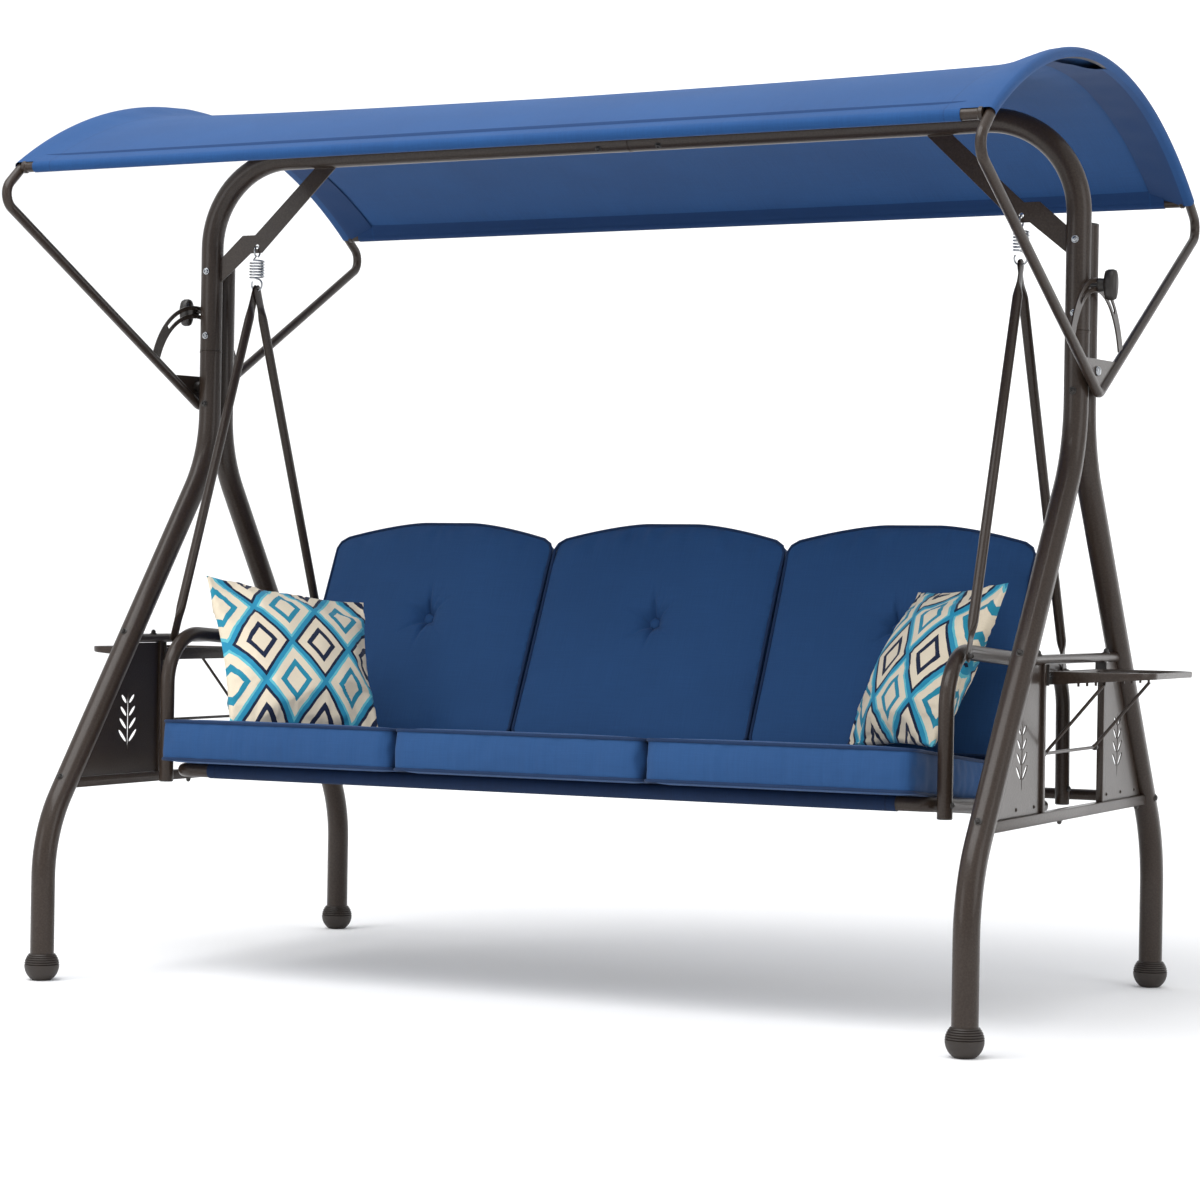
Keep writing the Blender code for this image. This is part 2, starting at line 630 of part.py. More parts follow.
def padded_block(name, outline, thickness, place, edge):
    """Cushion: an outline extruded to its thickness, with its edges rounded by a Bevel modifier."""
    made = add_mesh(name, prism(outline, thickness, place), TEXTILE_BLUE, origin=(0.0, 0.0, HANG_Z))
    bevel = made.modifiers.new("round edges", "BEVEL")
    bevel.width = edge
    bevel.segments = 2
    bevel.limit_method = "ANGLE"
    bevel.angle_limit = math.radians(40)
    return made


def make_cushions():
    half = CUSHION_W / 2
    seat = [(-half, 0.0), (half, 0.0), (half, SEAT_CUSHION_D), (-half, SEAT_CUSHION_D)]
    shoulder = rounded(
        [(half, 0.20, 0), (half + 1 * MM, BACK_SHOULDER_H - 0.012, 0), (0.11, BACK_PEAK_H + 0.002, 0),
         (-0.11, BACK_PEAK_H + 0.002, 0), (-half - 1 * MM, BACK_SHOULDER_H - 0.012, 0), (-half, 0.20, 0)],
        [0, 0.030, 0.25, 0.25, 0.030, 0],
    )
    back = [(-half, 0.0), (half, 0.0)] + [(p.x, p.y) for p in shoulder[1:-1]]
    for k, label in enumerate(("left", "middle", "right")):
        x = (k - 1) * CUSHION_PITCH
        lift = SEAT_CUSHION_T / 2
        low = Vector((x, *SEAT_CUSHION_FRONT))
        place = Matrix.Translation(low) @ Matrix.Rotation(-SEAT_TILT, 4, "X") @ Matrix.Translation((0, 0, lift))
        padded_block(f"seat_cushion_{label}", seat, SEAT_CUSHION_T, place, 0.017)
        low = Vector((x, *BACK_CUSHION_LOW))
        stand = Matrix.Rotation(math.pi / 2 - BACK_RECLINE, 4, "X")
        place = Matrix.Translation(low) @ stand @ Matrix.Translation((0, 0, -BACK_CUSHION_T / 2))
        padded_block(f"back_cushion_{label}", back, BACK_CUSHION_T, place, 0.014)


def make_pillow(side, middle, turn_deg, lean_deg, roll_deg):
    """Throw pillow: a square pad, thick in the middle and thin at the seam, set on the bench."""
    size, thick, steps = 0.33, 0.095, 8
    shape = bmesh.new()
    bmesh.ops.create_grid(shape, x_segments=steps, y_segments=steps, size=size / 2)
    for vert in shape.verts:
        u, v = 2 * vert.co.x / size, 2 * vert.co.y / size
        waist = 1 - 0.045 * (1 - min(abs(u), abs(v)) ** 2)
        bulge = (max(0.0, 1 - abs(u) ** 2.6) * max(0.0, 1 - abs(v) ** 2.6)) ** 0.55
        vert.co = Vector((vert.co.x * waist, vert.co.y * waist, thick / 2 * bulge + 3 * MM))
    copied = bmesh.ops.duplicate(shape, geom=shape.verts[:] + shape.edges[:] + shape.faces[:])
    below = [v for v in copied["geom"] if isinstance(v, bmesh.types.BMVert)]
    bmesh.ops.scale(shape, verts=below, vec=(1, 1, -1))
    rims = [e for e in shape.edges if e.is_boundary]
    bmesh.ops.bridge_loops(shape, edges=rims)
    bmesh.ops.recalc_face_normals(shape, faces=shape.faces)
    stand = Matrix.Rotation(math.pi / 2 - math.radians(lean_deg), 4, "X")
    turn = Matrix.Rotation(math.radians(turn_deg), 4, "Z")
    shape.transform(Matrix.Translation(middle) @ turn @ stand @ Matrix.Rotation(math.radians(roll_deg), 4, "Z"))
    mesh = bpy.data.meshes.new("pillow")
    shape.to_mesh(mesh)
    shape.free()
    add_mesh(f"throw_pillow_{side}", mesh, PATTERNED, origin=(0.0, 0.0, HANG_Z))


def make_tray(side, sign):
    """Folding tray: a shallow pan with a raised rim, deeper at its hinge than at its outer edge."""
    corners = [
        (TRAY_INNER_X, TRAY_FRONT_Y, 0), (TRAY_OUTER_X, TRAY_FRONT_Y, 0),
        (TRAY_OUTER_X, TRAY_REAR_Y, 0), (TRAY_INNER_X, TRAY_REAR_Y, 0),
    ]
    rim = [(sign * p.x, p.y) for p in rounded(corners, [0.018, 0.045, 0.045, 0.018], closed=True)]
    flat = Matrix.Translation((0.0, 0.0, TRAY_TOP_Z - TRAY_DEEP / 2))
    hinge = (sign * TRAY_HINGE[0], 0.0, TRAY_HINGE[1])
    tray = add_mesh(f"tray_{side}", prism(rim, TRAY_DEEP, flat), FRAME_FINISH, origin=hinge, smooth=False)
    low = TRAY_TOP_Z - TRAY_DEEP
    wedge = [
        (sign * TRAY_INNER_X, low), (sign * (TRAY_OUTER_X + 0.01), TRAY_TOP_Z - TRAY_SHALLOW),
        (sign * (TRAY_OUTER_X + 0.01), low - 0.02), (sign * TRAY_INNER_X, low - 0.02),
    ]
    cut_away = prism(wedge, 1.0, in_xz(0.0))
    cut_away.transform(Matrix.Translation((-hinge[0], 0.0, -hinge[2])))
    cut_away.transform(Matrix.Translation(hinge))
    boolean(tray, cut_away, "DIFFERENCE")
    inset = 6 * MM
    pan = [(TRAY_INNER_X + inset, TRAY_FRONT_Y + inset, 0), (TRAY_OUTER_X - inset, TRAY_FRONT_Y + inset, 0),
           (TRAY_OUTER_X - inset, TRAY_REAR_Y - inset, 0), (TRAY_INNER_X + inset, TRAY_REAR_Y - inset, 0)]
    pan = [(sign * p.x, p.y) for p in rounded(pan, [0.014, 0.040, 0.040, 0.014], closed=True)]
    boolean(tray, prism(pan, 12 * MM, Matrix.Translation((0.0, 0.0, TRAY_TOP_Z))), "DIFFERENCE")


def make_brace(side, sign):
    """Wire strut of a tray: a pivot rod between the bars and two legs that reach under the tray."""
    pivot = (sign * POST_X, BRACE_PIVOT_Z)
    tip = (sign * BRACE_TIP[0], BRACE_TIP[1])
    corners = [
        (tip[0], BRACE_FRONT_Y, tip[1]), (pivot[0], BRACE_FRONT_Y, pivot[1]),
        (pivot[0], BRACE_REAR_Y, pivot[1]), (tip[0], BRACE_REAR_Y, tip[1]),
    ]
    path = rounded(corners, 0.010)
    add_mesh(f"tray_brace_{side}", swept(path, BRACE_R, 1), FRAME_FINISH, origin=(pivot[0], 0.0, pivot[1]))


clear_scene()
for side_name, side_sign in SIDES.items():
    make_legs(side_name, side_sign)
    make_top_beam(side_name, side_sign)
    make_corner_plate(side_name, side_sign)
    make_side_frame(side_name, side_sign)
    make_canopy_fan(side_name, side_sign)
    make_pivot_bolt(side_name, side_sign)
    make_knob(side_name, side_sign)
    make_spring(side_name, side_sign)
    make_arms(side_name, side_sign)
    make_armrest(side_name, side_sign)
    make_tray(side_name, side_sign)
    make_brace(side_name, side_sign)
make_rear_cross_bar()
make_canopy_tubes()
make_canopy_fabric()
make_bench_frames()
make_sling()
make_cushions()
make_pillow("left", (-0.6145, -0.179, 0.632), 57.0, 33.0, -6.6)
make_pillow("right", (0.648, 0.015, 0.636), -41.0, 28.0, 3.8)
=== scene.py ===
"""Looks of a three-seat canopy glider swing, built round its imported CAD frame, in metres."""
import math

import bmesh
import bpy
from mathutils import Matrix, Vector, noise


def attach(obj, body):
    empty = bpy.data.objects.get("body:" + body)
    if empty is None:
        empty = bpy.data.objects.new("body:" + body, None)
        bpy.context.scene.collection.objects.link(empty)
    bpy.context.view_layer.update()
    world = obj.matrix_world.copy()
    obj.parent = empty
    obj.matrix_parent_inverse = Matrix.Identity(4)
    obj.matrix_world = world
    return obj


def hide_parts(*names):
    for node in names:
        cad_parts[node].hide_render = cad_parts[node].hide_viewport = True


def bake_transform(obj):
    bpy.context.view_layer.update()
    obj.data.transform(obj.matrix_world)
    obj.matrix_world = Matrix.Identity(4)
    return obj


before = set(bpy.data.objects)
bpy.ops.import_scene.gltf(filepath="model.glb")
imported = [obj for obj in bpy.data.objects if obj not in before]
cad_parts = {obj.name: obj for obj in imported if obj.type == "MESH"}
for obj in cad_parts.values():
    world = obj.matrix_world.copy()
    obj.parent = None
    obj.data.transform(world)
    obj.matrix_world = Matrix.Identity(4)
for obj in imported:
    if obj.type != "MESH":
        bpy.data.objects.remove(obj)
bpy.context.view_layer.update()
SIDES = (("left", -1), ("right", 1))


# ---- Camera and studio ----------------------------------------------------------------------
# A long lens at hip height, ahead of the swing and to its right, looks across the bench.
# The studio is a pale floor that curves up behind the swing, under large soft lights.
camera_place = Vector((2.6511, -5.4715, 0.7651))
camera_turn, camera_pitch, camera_roll = 0.4546, -0.0020, 0.0162
ahead = Vector((
    -math.sin(camera_turn) * math.cos(camera_pitch),
    math.cos(camera_turn) * math.cos(camera_pitch),
    math.sin(camera_pitch),
))
level = Vector((math.cos(camera_turn), math.sin(camera_turn), 0.0))
across = level * math.cos(camera_roll) + level.cross(ahead) * math.sin(camera_roll)
lens = bpy.data.cameras.new("studio_camera")
lens.sensor_width = 36.0
lens.lens = 92.79
lens.clip_end = 200.0
camera = bpy.data.objects.new("studio_camera", lens)
upward = across.cross(ahead)
camera.matrix_world = Matrix.Translation(camera_place) @ Matrix((across, upward, -ahead)).transposed().to_4x4()
bpy.context.scene.collection.objects.link(camera)
bpy.context.scene.camera = camera
bpy.context.scene.view_settings.view_transform = "Standard"


def srgb(code):
    """Linear RGBA of an sRGB hex colour."""
    parts = [int(code[i:i + 2], 16) / 255 for i in (1, 3, 5)]
    return (*[p / 12.92 if p <= 0.04045 else ((p + 0.055) / 1.055) ** 2.4 for p in parts], 1.0)


def unit(angle):
    """A flat vector of length one at an angle."""
    return Vector((math.cos(angle), math.sin(angle)))


def node(tree, kind, inputs=None, **settings):
    """Adds a node with its options. An input is a value, a socket, or a node for its main output."""
    made = tree.nodes.new("ShaderNode" + kind)
    for key, value in settings.items():
        setattr(made, key, value)
    for key, value in (inputs or {}).items():
        if isinstance(value, bpy.types.Node):
            mixed = value.bl_idname == "ShaderNodeMix"
            value = value.outputs[2] if mixed else value.outputs.get("Fac") or value.outputs[0]
        if isinstance(value, bpy.types.NodeSocket):
            tree.links.new(value, made.inputs[key])
        else:
            made.inputs[key].default_value = value
    return made


def start_material(name):
    """An empty node material and its tree."""
    made = bpy.data.materials.new(name)
    made.use_nodes = True
    made.node_tree.nodes.clear()
    return made, made.node_tree


def mottled(name, scale, detail, tones, gloss, bump=None, **shader):
    """A plain material: one noise moves its colour, its roughness if that is a pair, and its bump."""
    made, tree = start_material(name)
    where = node(tree, "TexCoord")
    grain = node(tree, "TexNoise", {"Vector": where.outputs["Object"], "Scale": scale, "Detail": detail})
    tone = node(tree, "Mix", {0: grain, 6: srgb(tones[0]), 7: srgb(tones[1])}, data_type="RGBA")
    if isinstance(gloss, tuple):
        gloss = node(tree, "MapRange", {"Value": grain, "To Min": gloss[0], "To Max": gloss[1]})
    if bump:
        shader["Normal"] = node(tree, "Bump", {"Height": grain, "Strength": bump[0], "Distance": bump[1]})
    surface = node(tree, "BsdfPrincipled", {"Base Color": tone, "Roughness": gloss, **shader})
    node(tree, "OutputMaterial", {"Surface": surface})
    return made


# Matt pale paint: nearly white, with only a faint mottle.
studio_paint = mottled("matt_pale_studio_paint", 1.5, 2.0, ("#f4f4f4", "#f8f8f8"), 0.9)

bpy.ops.object.select_all(action="DESELECT")
bpy.ops.mesh.primitive_plane_add(size=1.0)
floor = bpy.context.object
floor.name = "studio_floor"
cove = bmesh.new()
rows = []
for step in range(15):
    turn = math.radians(90 * (step - 2) / 12)
    y = (-16.0, -4.0)[step] if step < 2 else 9.0 + 4.0 * math.sin(turn)
    z = 0.0 if step < 2 else 4.0 - 4.0 * math.cos(turn)
    rows.append([cove.verts.new((x, y, z)) for x in (-24.0, 16.0)])
rows.append([cove.verts.new((x, 13.0, 12.0)) for x in (-24.0, 16.0)])
for near, far in zip(rows, rows[1:]):
    cove.faces.new((near[0], near[1], far[1], far[0]))
cove.to_mesh(floor.data)
cove.free()
floor.data.shade_smooth()
floor.data.materials.append(studio_paint)


def softbox(name, place, target, size, power, colour="#ffffff"):
    """A rectangular area light that faces a point."""
    light = bpy.data.lights.new(name, "AREA")
    light.shape = "RECTANGLE"
    light.size, light.size_y = size
    light.energy = power
    light.color = srgb(colour)[:3]
    lamp = bpy.data.objects.new(name, light)
    lamp.location = place
    lamp.rotation_euler = (Vector(target) - Vector(place)).to_track_quat("-Z", "Y").to_euler()
    bpy.context.scene.collection.objects.link(lamp)


softbox("top_softbox", (-0.8, -2.2, 5.2), (0.0, 0.0, 1.0), (5.0, 4.0), 270.0)
softbox("front_softbox", (-3.4, -6.2, 2.3), (0.0, 0.0, 0.6), (3.2, 3.0), 62.0)
softbox("right_softbox", (5.2, -1.2, 2.2), (0.6, 0.0, 0.7), (2.4, 3.0), 42.0)
softbox("panel_softbox", (2.3, 2.7, 0.75), (0.94, 0.0, 0.5), (1.3, 1.5), 7.5)
softbox("backdrop_wash", (-3.5, 5.0, 7.5), (-6.0, 12.0, 2.0), (10.0, 3.0), 520.0)
world = bpy.data.worlds.new("studio_world")
world.use_nodes = True
sky = world.node_tree.nodes["Background"].inputs
sky["Color"].default_value, sky["Strength"].default_value = srgb("#f7f8fa"), 0.88
bpy.context.scene.world = world


# ---- Stand: bent tubes ----------------------------------------------------------------------
# Each end of the stand is a front and a rear leg of 46 mm steel tube, bent on a mandrel, that meet
# below a doubled post. The front post runs on into the top beam, which is joined near its middle.
# The finish is a dark bronze powder coat.
TUBE_R = 0.023
POST_X = 0.941
FRONT_FOOT_Y, REAR_FOOT_Y, REAR_TOP_Y = -0.5585, 0.5505, 0.0463
LOWER_BEND_Z, UPPER_BEND_Z, LEG_BEND_R = 0.2856, 1.0446, 0.27
SPLICE_Z, REAR_TOP_Z, BEAM_Z, BEAM_BEND_R, BEAM_JOINT_X = 1.2606, 1.458, 1.6556, 0.18, 0.030
FLAT_SHADE_DEG = 5.0

# Powder coat: a dark bronze with fine lighter flecks, an orange peel and a soft clear gloss.
bronze_coat, tree = start_material("bronze_powder_coat")
where = node(tree, "TexCoord")
cloudy = node(tree, "TexNoise", {"Vector": where.outputs["Object"], "Scale": 7.0, "Detail": 4.0})
flecks = node(tree, "TexNoise", {"Vector": where.outputs["Object"], "Scale": 300.0, "Detail": 2.0})
tone = node(tree, "Mix", {0: cloudy, 6: srgb("#261d17"), 7: srgb("#312720")}, data_type="RGBA")
speck = node(tree, "MapRange", {"Value": flecks, "From Min": 0.35, "From Max": 0.75, "To Max": 0.35})
fleck_tone = node(tree, "Mix", {0: speck, 6: tone, 7: srgb("#463c35")}, data_type="RGBA")
gloss = node(tree, "MapRange", {"Value": cloudy, "To Min": 0.30, "To Max": 0.40})
peel = node(tree, "Bump", {"Height": flecks, "Strength": 0.45, "Distance": 0.0006})
paint = node(tree, "BsdfPrincipled", {
    "Base Color": fleck_tone, "Roughness": gloss, "Normal": peel,
    "Specular IOR Level": 0.24, "Coat Weight": 0.16, "Coat Roughness": 0.10,
})
node(tree, "OutputMaterial", {"Surface": paint})


def bent_route(corners, radius, closed=False, step_deg=6.0):
    """Points of a route through corners, with each corner turned into an arc."""
    corners = [Vector(c) for c in corners]
    count = len(corners)
    radii = radius if isinstance(radius, (list, tuple)) else [radius] * count
    route = []
    for i, corner in enumerate(corners):
        if radii[i] == 0 or (not closed and i in (0, count - 1)):
            route.append(corner)
            continue
        back = (corners[i - 1] - corner).normalized()
        onward = (corners[(i + 1) % count] - corner).normalized()
        turn = math.pi - back.angle(onward)
        reach = radii[i] * math.tan(turn / 2)
        middle = corner + (back + onward).normalized() * radii[i] / math.cos(turn / 2)
        first, last = corner + back * reach - middle, corner + onward * reach - middle
        steps = max(2, math.ceil(turn / math.radians(step_deg)))
        route += [middle + first.slerp(last, k / steps) * radii[i] for k in range(steps + 1)]
    return route


def settle(piece, body, slot, *nodes, smooth=35.0):
    """Merges a new piece's doubles, shades it, ties it to its body and hides the CAD nodes it replaces. Its slot is
    not used.
    """
    bpy.ops.object.select_all(action="DESELECT")
    piece.select_set(True)
    bpy.context.view_layer.objects.active = piece
    bpy.ops.object.transform_apply(location=True, rotation=True, scale=True)
    bpy.ops.object.mode_set(mode="EDIT")
    bpy.ops.mesh.select_all(action="SELECT")
    bpy.ops.mesh.remove_doubles(threshold=0.00001)
    bpy.ops.mesh.normals_make_consistent(inside=False)
    bpy.ops.object.mode_set(mode="OBJECT")
    if piece.get("flat_plate") and smooth < 50:
        smooth = FLAT_SHADE_DEG
    bpy.ops.object.shade_smooth_by_angle(angle=math.radians(smooth))
    if body:
        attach(piece, body)
    if nodes:
        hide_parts(*nodes)
    return piece


def steel(piece, body, *nodes):
    """Settles a piece of the coated steel frame."""
    return settle(piece, body, "frame_paint", *nodes)


def tube(name, route, radius, finish, closed=False, resolution=9):
    """A round tube along a route, with closed ends."""
    bpy.ops.object.select_all(action="DESELECT")
    bpy.ops.curve.primitive_nurbs_path_add()
    drawn = bpy.context.object
    drawn.name = name
    drawn.data.splines.clear()
    line = drawn.data.splines.new("POLY")
    line.points.add(len(route) - 1)
    for point, place in zip(line.points, route):
        point.co = (*place, 1.0)
    line.use_cyclic_u = closed
    drawn.data.bevel_depth = radius
    drawn.data.bevel_resolution = resolution
    drawn.data.use_fill_caps = not closed
    bpy.ops.object.convert(target="MESH")
    made = bpy.context.object
    made.data.name = name
    made.data.materials.clear()
    made.data.materials.append(finish)
    return made


def leg_y(z, foot_y, top_y):
    """Y of a leg's straight slanting part at a height."""
    return foot_y + (top_y - foot_y) * (z - LOWER_BEND_Z) / (UPPER_BEND_Z - LOWER_BEND_Z)


for side, sign in SIDES:
    x = sign * POST_X
    legs = {"front": (FRONT_FOOT_Y, 0.0, SPLICE_Z - 0.0006), "rear": (REAR_FOOT_Y, REAR_TOP_Y, REAR_TOP_Z)}
    for end, (foot_y, top_y, top_z) in legs.items():
        corners = [(x, foot_y, 0.0125), (x, foot_y, LOWER_BEND_Z), (x, top_y, UPPER_BEND_Z), (x, top_y, top_z)]
        leg = tube(f"{end}_leg_tube_{side}", bent_route(corners, LEG_BEND_R, step_deg=4), TUBE_R, bronze_coat)
        steel(leg, "stand", f"{end}_leg_{side}")
    joint_x = BEAM_JOINT_X + sign * 0.0004
    corners = [(x, 0.0, SPLICE_Z + 0.0004), (x, 0.0, BEAM_Z), (joint_x, 0.0, BEAM_Z)]
    beam = tube(f"top_beam_tube_{side}", bent_route(corners, BEAM_BEND_R, step_deg=4), TUBE_R, bronze_coat)
    steel(beam, "stand", f"top_beam_{side}")


# ---- Plugs, screws and bolts ----------------------------------------------------------------
# Bright zinc screws hold the splices; black bolts and domed nuts hold the rails and plates.
# A moulded plug closes the top of each rear leg.
# Zinc plate is a soft grey mirror; moulded nylon is nearly black with a fine satin grain.
zinc_plate = mottled("bright_zinc_plate", 300.0, 3.0, ("#8b8e92", "#b0b3b6"), (0.18, 0.34), Metallic=1.0)
moulded_black = mottled("moulded_black_nylon", 500.0, 2.0, ("#15120f", "#2a2521"), (0.32, 0.5), (0.3, 0.0003))


def from_shape(name, shape, finish):
    """Makes a built shape a piece of its own, selected and with its finish."""
    mesh = bpy.data.meshes.new(name)
    shape.to_mesh(mesh)
    shape.free()
    mesh.materials.append(finish)
    made = bpy.data.objects.new(name, mesh)
    bpy.context.scene.collection.objects.link(made)
    bpy.ops.object.select_all(action="DESELECT")
    made.select_set(True)
    bpy.context.view_layer.objects.active = made
    return made


def turned(name, profile, place, axis, finish, steps=28):
    """A piece turned on a lathe: (radius, height) points from axis to axis, set on a place and an axis."""
    shape = bmesh.new()
    spine = [shape.verts.new((r, 0.0, h)) for r, h in profile]
    edges = [shape.edges.new(pair) for pair in zip(spine, spine[1:])]
    bmesh.ops.spin(
        shape, geom=spine + edges, cent=(0, 0, 0), axis=(0, 0, 1), angle=math.tau, steps=steps, use_merge=True
    )
    turn = Vector(axis).to_track_quat("Z", "Y").to_matrix().to_4x4()
    shape.transform(Matrix.Translation(place) @ turn)
    return from_shape(name, shape, finish)


def screw(name, place, axis, radius, finish=moulded_black, body="stand", slot="black_plastic"):
    """A pan-head screw with a hexagon socket, on a washer."""
    r = radius
    profile = [
        (0.0, -0.001), (1.35 * r, -0.001), (1.35 * r, 0.0006), (1.25 * r, 0.001), (r, 0.001), (r, 0.35 * r),
        (0.86 * r, 0.62 * r), (0.6 * r, 0.74 * r), (0.42 * r, 0.76 * r), (0.40 * r, 0.35 * r), (0.0, 0.35 * r),
    ]
    return settle(turned(name, profile, place, axis, finish, 18), body, slot)


def dome_nut(name, place, axis, radius, body="stand"):
    """A black domed cap nut on its flange."""
    r = radius
    profile = [(0.0, -0.001), (1.3 * r, -0.001), (1.3 * r, 0.0012), (0.95 * r, 0.0016), (0.9 * r, 0.9 * r)]
    profile += [(0.7 * r, 1.35 * r), (0.4 * r, 1.6 * r), (0.0, 1.68 * r)]
    return settle(turned(name, profile, place, axis, moulded_black, 18), body, "black_plastic")


def joint_lip(bulge, groove):
    """Profile of a tube's swaged end: a raised band, a groove, and the edge of the next tube."""
    band, bore, edge = TUBE_R + bulge, 0.0215, TUBE_R + 0.0003
    return [
        (bore, -0.004), (band, -0.0035), (band, -0.0006), (TUBE_R - groove, 0.0),
        (edge, 0.0006), (edge, 0.003), (bore, 0.0035), (bore, -0.004),
    ]


for side, sign in SIDES:
    x = sign * POST_X
    for label, z, finish, slot in (
        ("upper", 1.4266, zinc_plate, "zinc"), ("splice", 1.292, zinc_plate, "zinc"),
        ("lower", 1.150, moulded_black, "black_plastic"),
    ):
        screw(f"post_screw_{label}_{side}", (x, -TUBE_R - 0.0002, z), (0, -1, 0), 0.0052, finish, slot=slot)
    for label, z in (("upper", 1.405), ("lower", 1.225)):
        dome_nut(f"post_nut_{label}_{side}", (x, REAR_TOP_Y + TUBE_R, z), (0, 1, 0), 0.005)
    plug = [(0.0, 0.0), (TUBE_R, 0.0), (TUBE_R + 0.0006, 0.0015), (TUBE_R - 0.001, 0.0035)]
    plug += [(0.015, 0.0050), (0.0, 0.0054)]
    cap = turned(f"rear_post_plug_{side}", plug, (x, REAR_TOP_Y, REAR_TOP_Z + 0.0002), (0, 0, 1), moulded_black)
    settle(cap, "stand", "black_plastic")
    sleeve = joint_lip(0.0007, 0.0006)
    lip = turned(f"post_splice_lip_{side}", sleeve, (x, 0.0, SPLICE_Z), (0, 0, 1), bronze_coat, 36)
    steel(lip, "stand")
beam_lip = joint_lip(0.0006, 0.0008)
ring = turned("beam_joint_lip", beam_lip, (BEAM_JOINT_X, 0.0, BEAM_Z), (1, 0, 0), bronze_coat, 36)
steel(ring, "stand")
for label, x in (("left", -0.035), ("right", 0.095)):
    screw(f"beam_screw_{label}", (x, -0.0165, BEAM_Z - 0.0165), (0, -1, -1), 0.005)


# ---- Feet -----------------------------------------------------------------------------------
# Ball feet moulded in dark brown rubber, pushed over the leg ends. The lower half is plain and
# the upper half is ringed with five ribs, which steps the outline and catches the light.
FOOT_R, FOOT_Z = 0.0335, 0.0286
# Moulded rubber: dull and dark, with a faint dusty bloom.
foot_rubber = mottled("moulded_brown_rubber", 60.0, 4.0, ("#1d1611", "#2f2620"), (0.42, 0.62))

foot_profile = [(0.0, 0.0), (0.0165, 0.0)]
for k in range(9):
    turn = math.radians(-57 + 60 * k / 8)
    foot_profile.append((FOOT_R * math.cos(turn), FOOT_Z + FOOT_R * math.sin(turn)))
for k in range(5):
    low, high = math.radians(5 + 7.6 * k), math.radians(5 + 7.6 * (k + 1))
    for share, depth in ((0.0, 0.0022), (0.22, 0.0), (0.72, 0.0), (0.95, 0.0022)):
        turn = low + (high - low) * share
        foot_profile.append(((FOOT_R - depth) * math.cos(turn), FOOT_Z + FOOT_R * math.sin(turn)))
foot_profile += [(0.0245, 0.0503), (0.0233, 0.0500), (0.0233, 0.0122), (0.0, 0.0122)]
for side, sign in SIDES:
    for end, foot_y in (("front", FRONT_FOOT_Y), ("rear", REAR_FOOT_Y)):
        place = (sign * POST_X, foot_y, 0.0)
        foot = turned(f"{end}_ball_foot_{side}", foot_profile, place, (0, 0, 1), foot_rubber, 48)
        settle(foot, "stand", "foot_plastic", f"{end}_foot_{side}", smooth=28)


# ---- Corner plates --------------------------------------------------------------------------
# Cranked plates cut from 4 mm steel brace each corner and carry the spring hooks. They are
# welded to the post and to the underside of the beam, and coated with the frame.
def cut_plate(name, outlines, thickness, place, finish, edge=0.0005):
    """A flat plate cut to the first outline, with the other outlines as holes and softened edges."""
    bpy.ops.object.select_all(action="DESELECT")
    bpy.ops.curve.primitive_bezier_circle_add()
    drawn = bpy.context.object
    drawn.name = name
    drawn.data.splines.clear()
    drawn.data.dimensions = "2D"
    drawn.data.fill_mode = "BOTH"
    for outline in outlines:
        line = drawn.data.splines.new("POLY")
        line.points.add(len(outline) - 1)
        for point, spot in zip(line.points, outline):
            point.co = (spot[0], spot[1], 0.0, 1.0)
        line.use_cyclic_u = True
    drawn.data.extrude = thickness / 2 - edge
    drawn.data.bevel_depth = edge
    drawn.data.bevel_resolution = 1
    drawn.data.offset = -edge
    bpy.ops.object.convert(target="MESH")
    made = bpy.context.object
    made.data.transform(place)
    made.data.materials.clear()
    made.data.materials.append(finish)
    made["flat_plate"] = True
    return made


def in_yz(x):
    """Lays a flat (u, v) outline in the plane X = x as (Y, Z)."""
    return Matrix(((0, 0, 1, x), (1, 0, 0, 0), (0, 1, 0, 0), (0, 0, 0, 1)))


def in_xz(y):
    """Lays a flat (u, v) outline in the plane Y = y as (X, Z)."""
    return Matrix(((1, 0, 0, 0), (0, 0, -1, y), (0, 1, 0, 0), (0, 0, 0, 1)))


def arc(centre, radius, start_deg, end_deg, steps):
    """Points of an arc as (u, v), with angles anticlockwise from +u."""
    turns = [math.radians(start_deg + (end_deg - start_deg) * k / steps) for k in range(steps + 1)]
    return [(centre[0] + radius * math.cos(a), centre[1] + radius * math.sin(a)) for a in turns]


HANG_X, HANG_Z, PLATE_BEND_R = 0.8307, 1.4764, 0.004
for side, sign in SIDES:
    corners = [
        (0.9177, 1.4055), (0.847, 1.463), (0.8195, 1.463), (0.644, 1.6323),
        (0.694, 1.6323), (0.8355, 1.5006), (0.866, 1.5006), (0.9177, 1.4551),
    ]
    bends = [0, PLATE_BEND_R, PLATE_BEND_R, 0] * 2
    outline = bent_route([(sign * u, v, 0.0) for u, v in corners], bends, True, 20)
    hole = arc((sign * HANG_X, HANG_Z), 0.005, 0, 360, 20)[:-1]
    plate = cut_plate(f"corner_brace_plate_{side}", [outline, hole], 0.004, in_xz(0.0), bronze_coat)
    steel(plate, "stand", f"corner_plate_{side}")
    for label, start, end in (
        ("post", (sign * 0.9177, 0.0, 1.407), (sign * 0.9177, 0.0, 1.454)),
        ("beam", (sign * 0.646, 0.0, 1.6323), (sign * 0.692, 0.0, 1.6323)),
    ):
        run = Vector(end) - Vector(start)
        bead_route = [Vector(start) + run * k / 14 for k in range(15)]
        for face, end in ((-1, "front"), (1, "rear")):
            wavy = [
                p + Vector((0, face * (0.0022 + 0.0006 * math.sin(2.6 * k)), 0)) for k, p in enumerate(bead_route)
            ]
            bead = tube(f"plate_weld_{label}_{end}_{side}", wavy, 0.0017, bronze_coat, resolution=2)
            steel(bead, "stand")


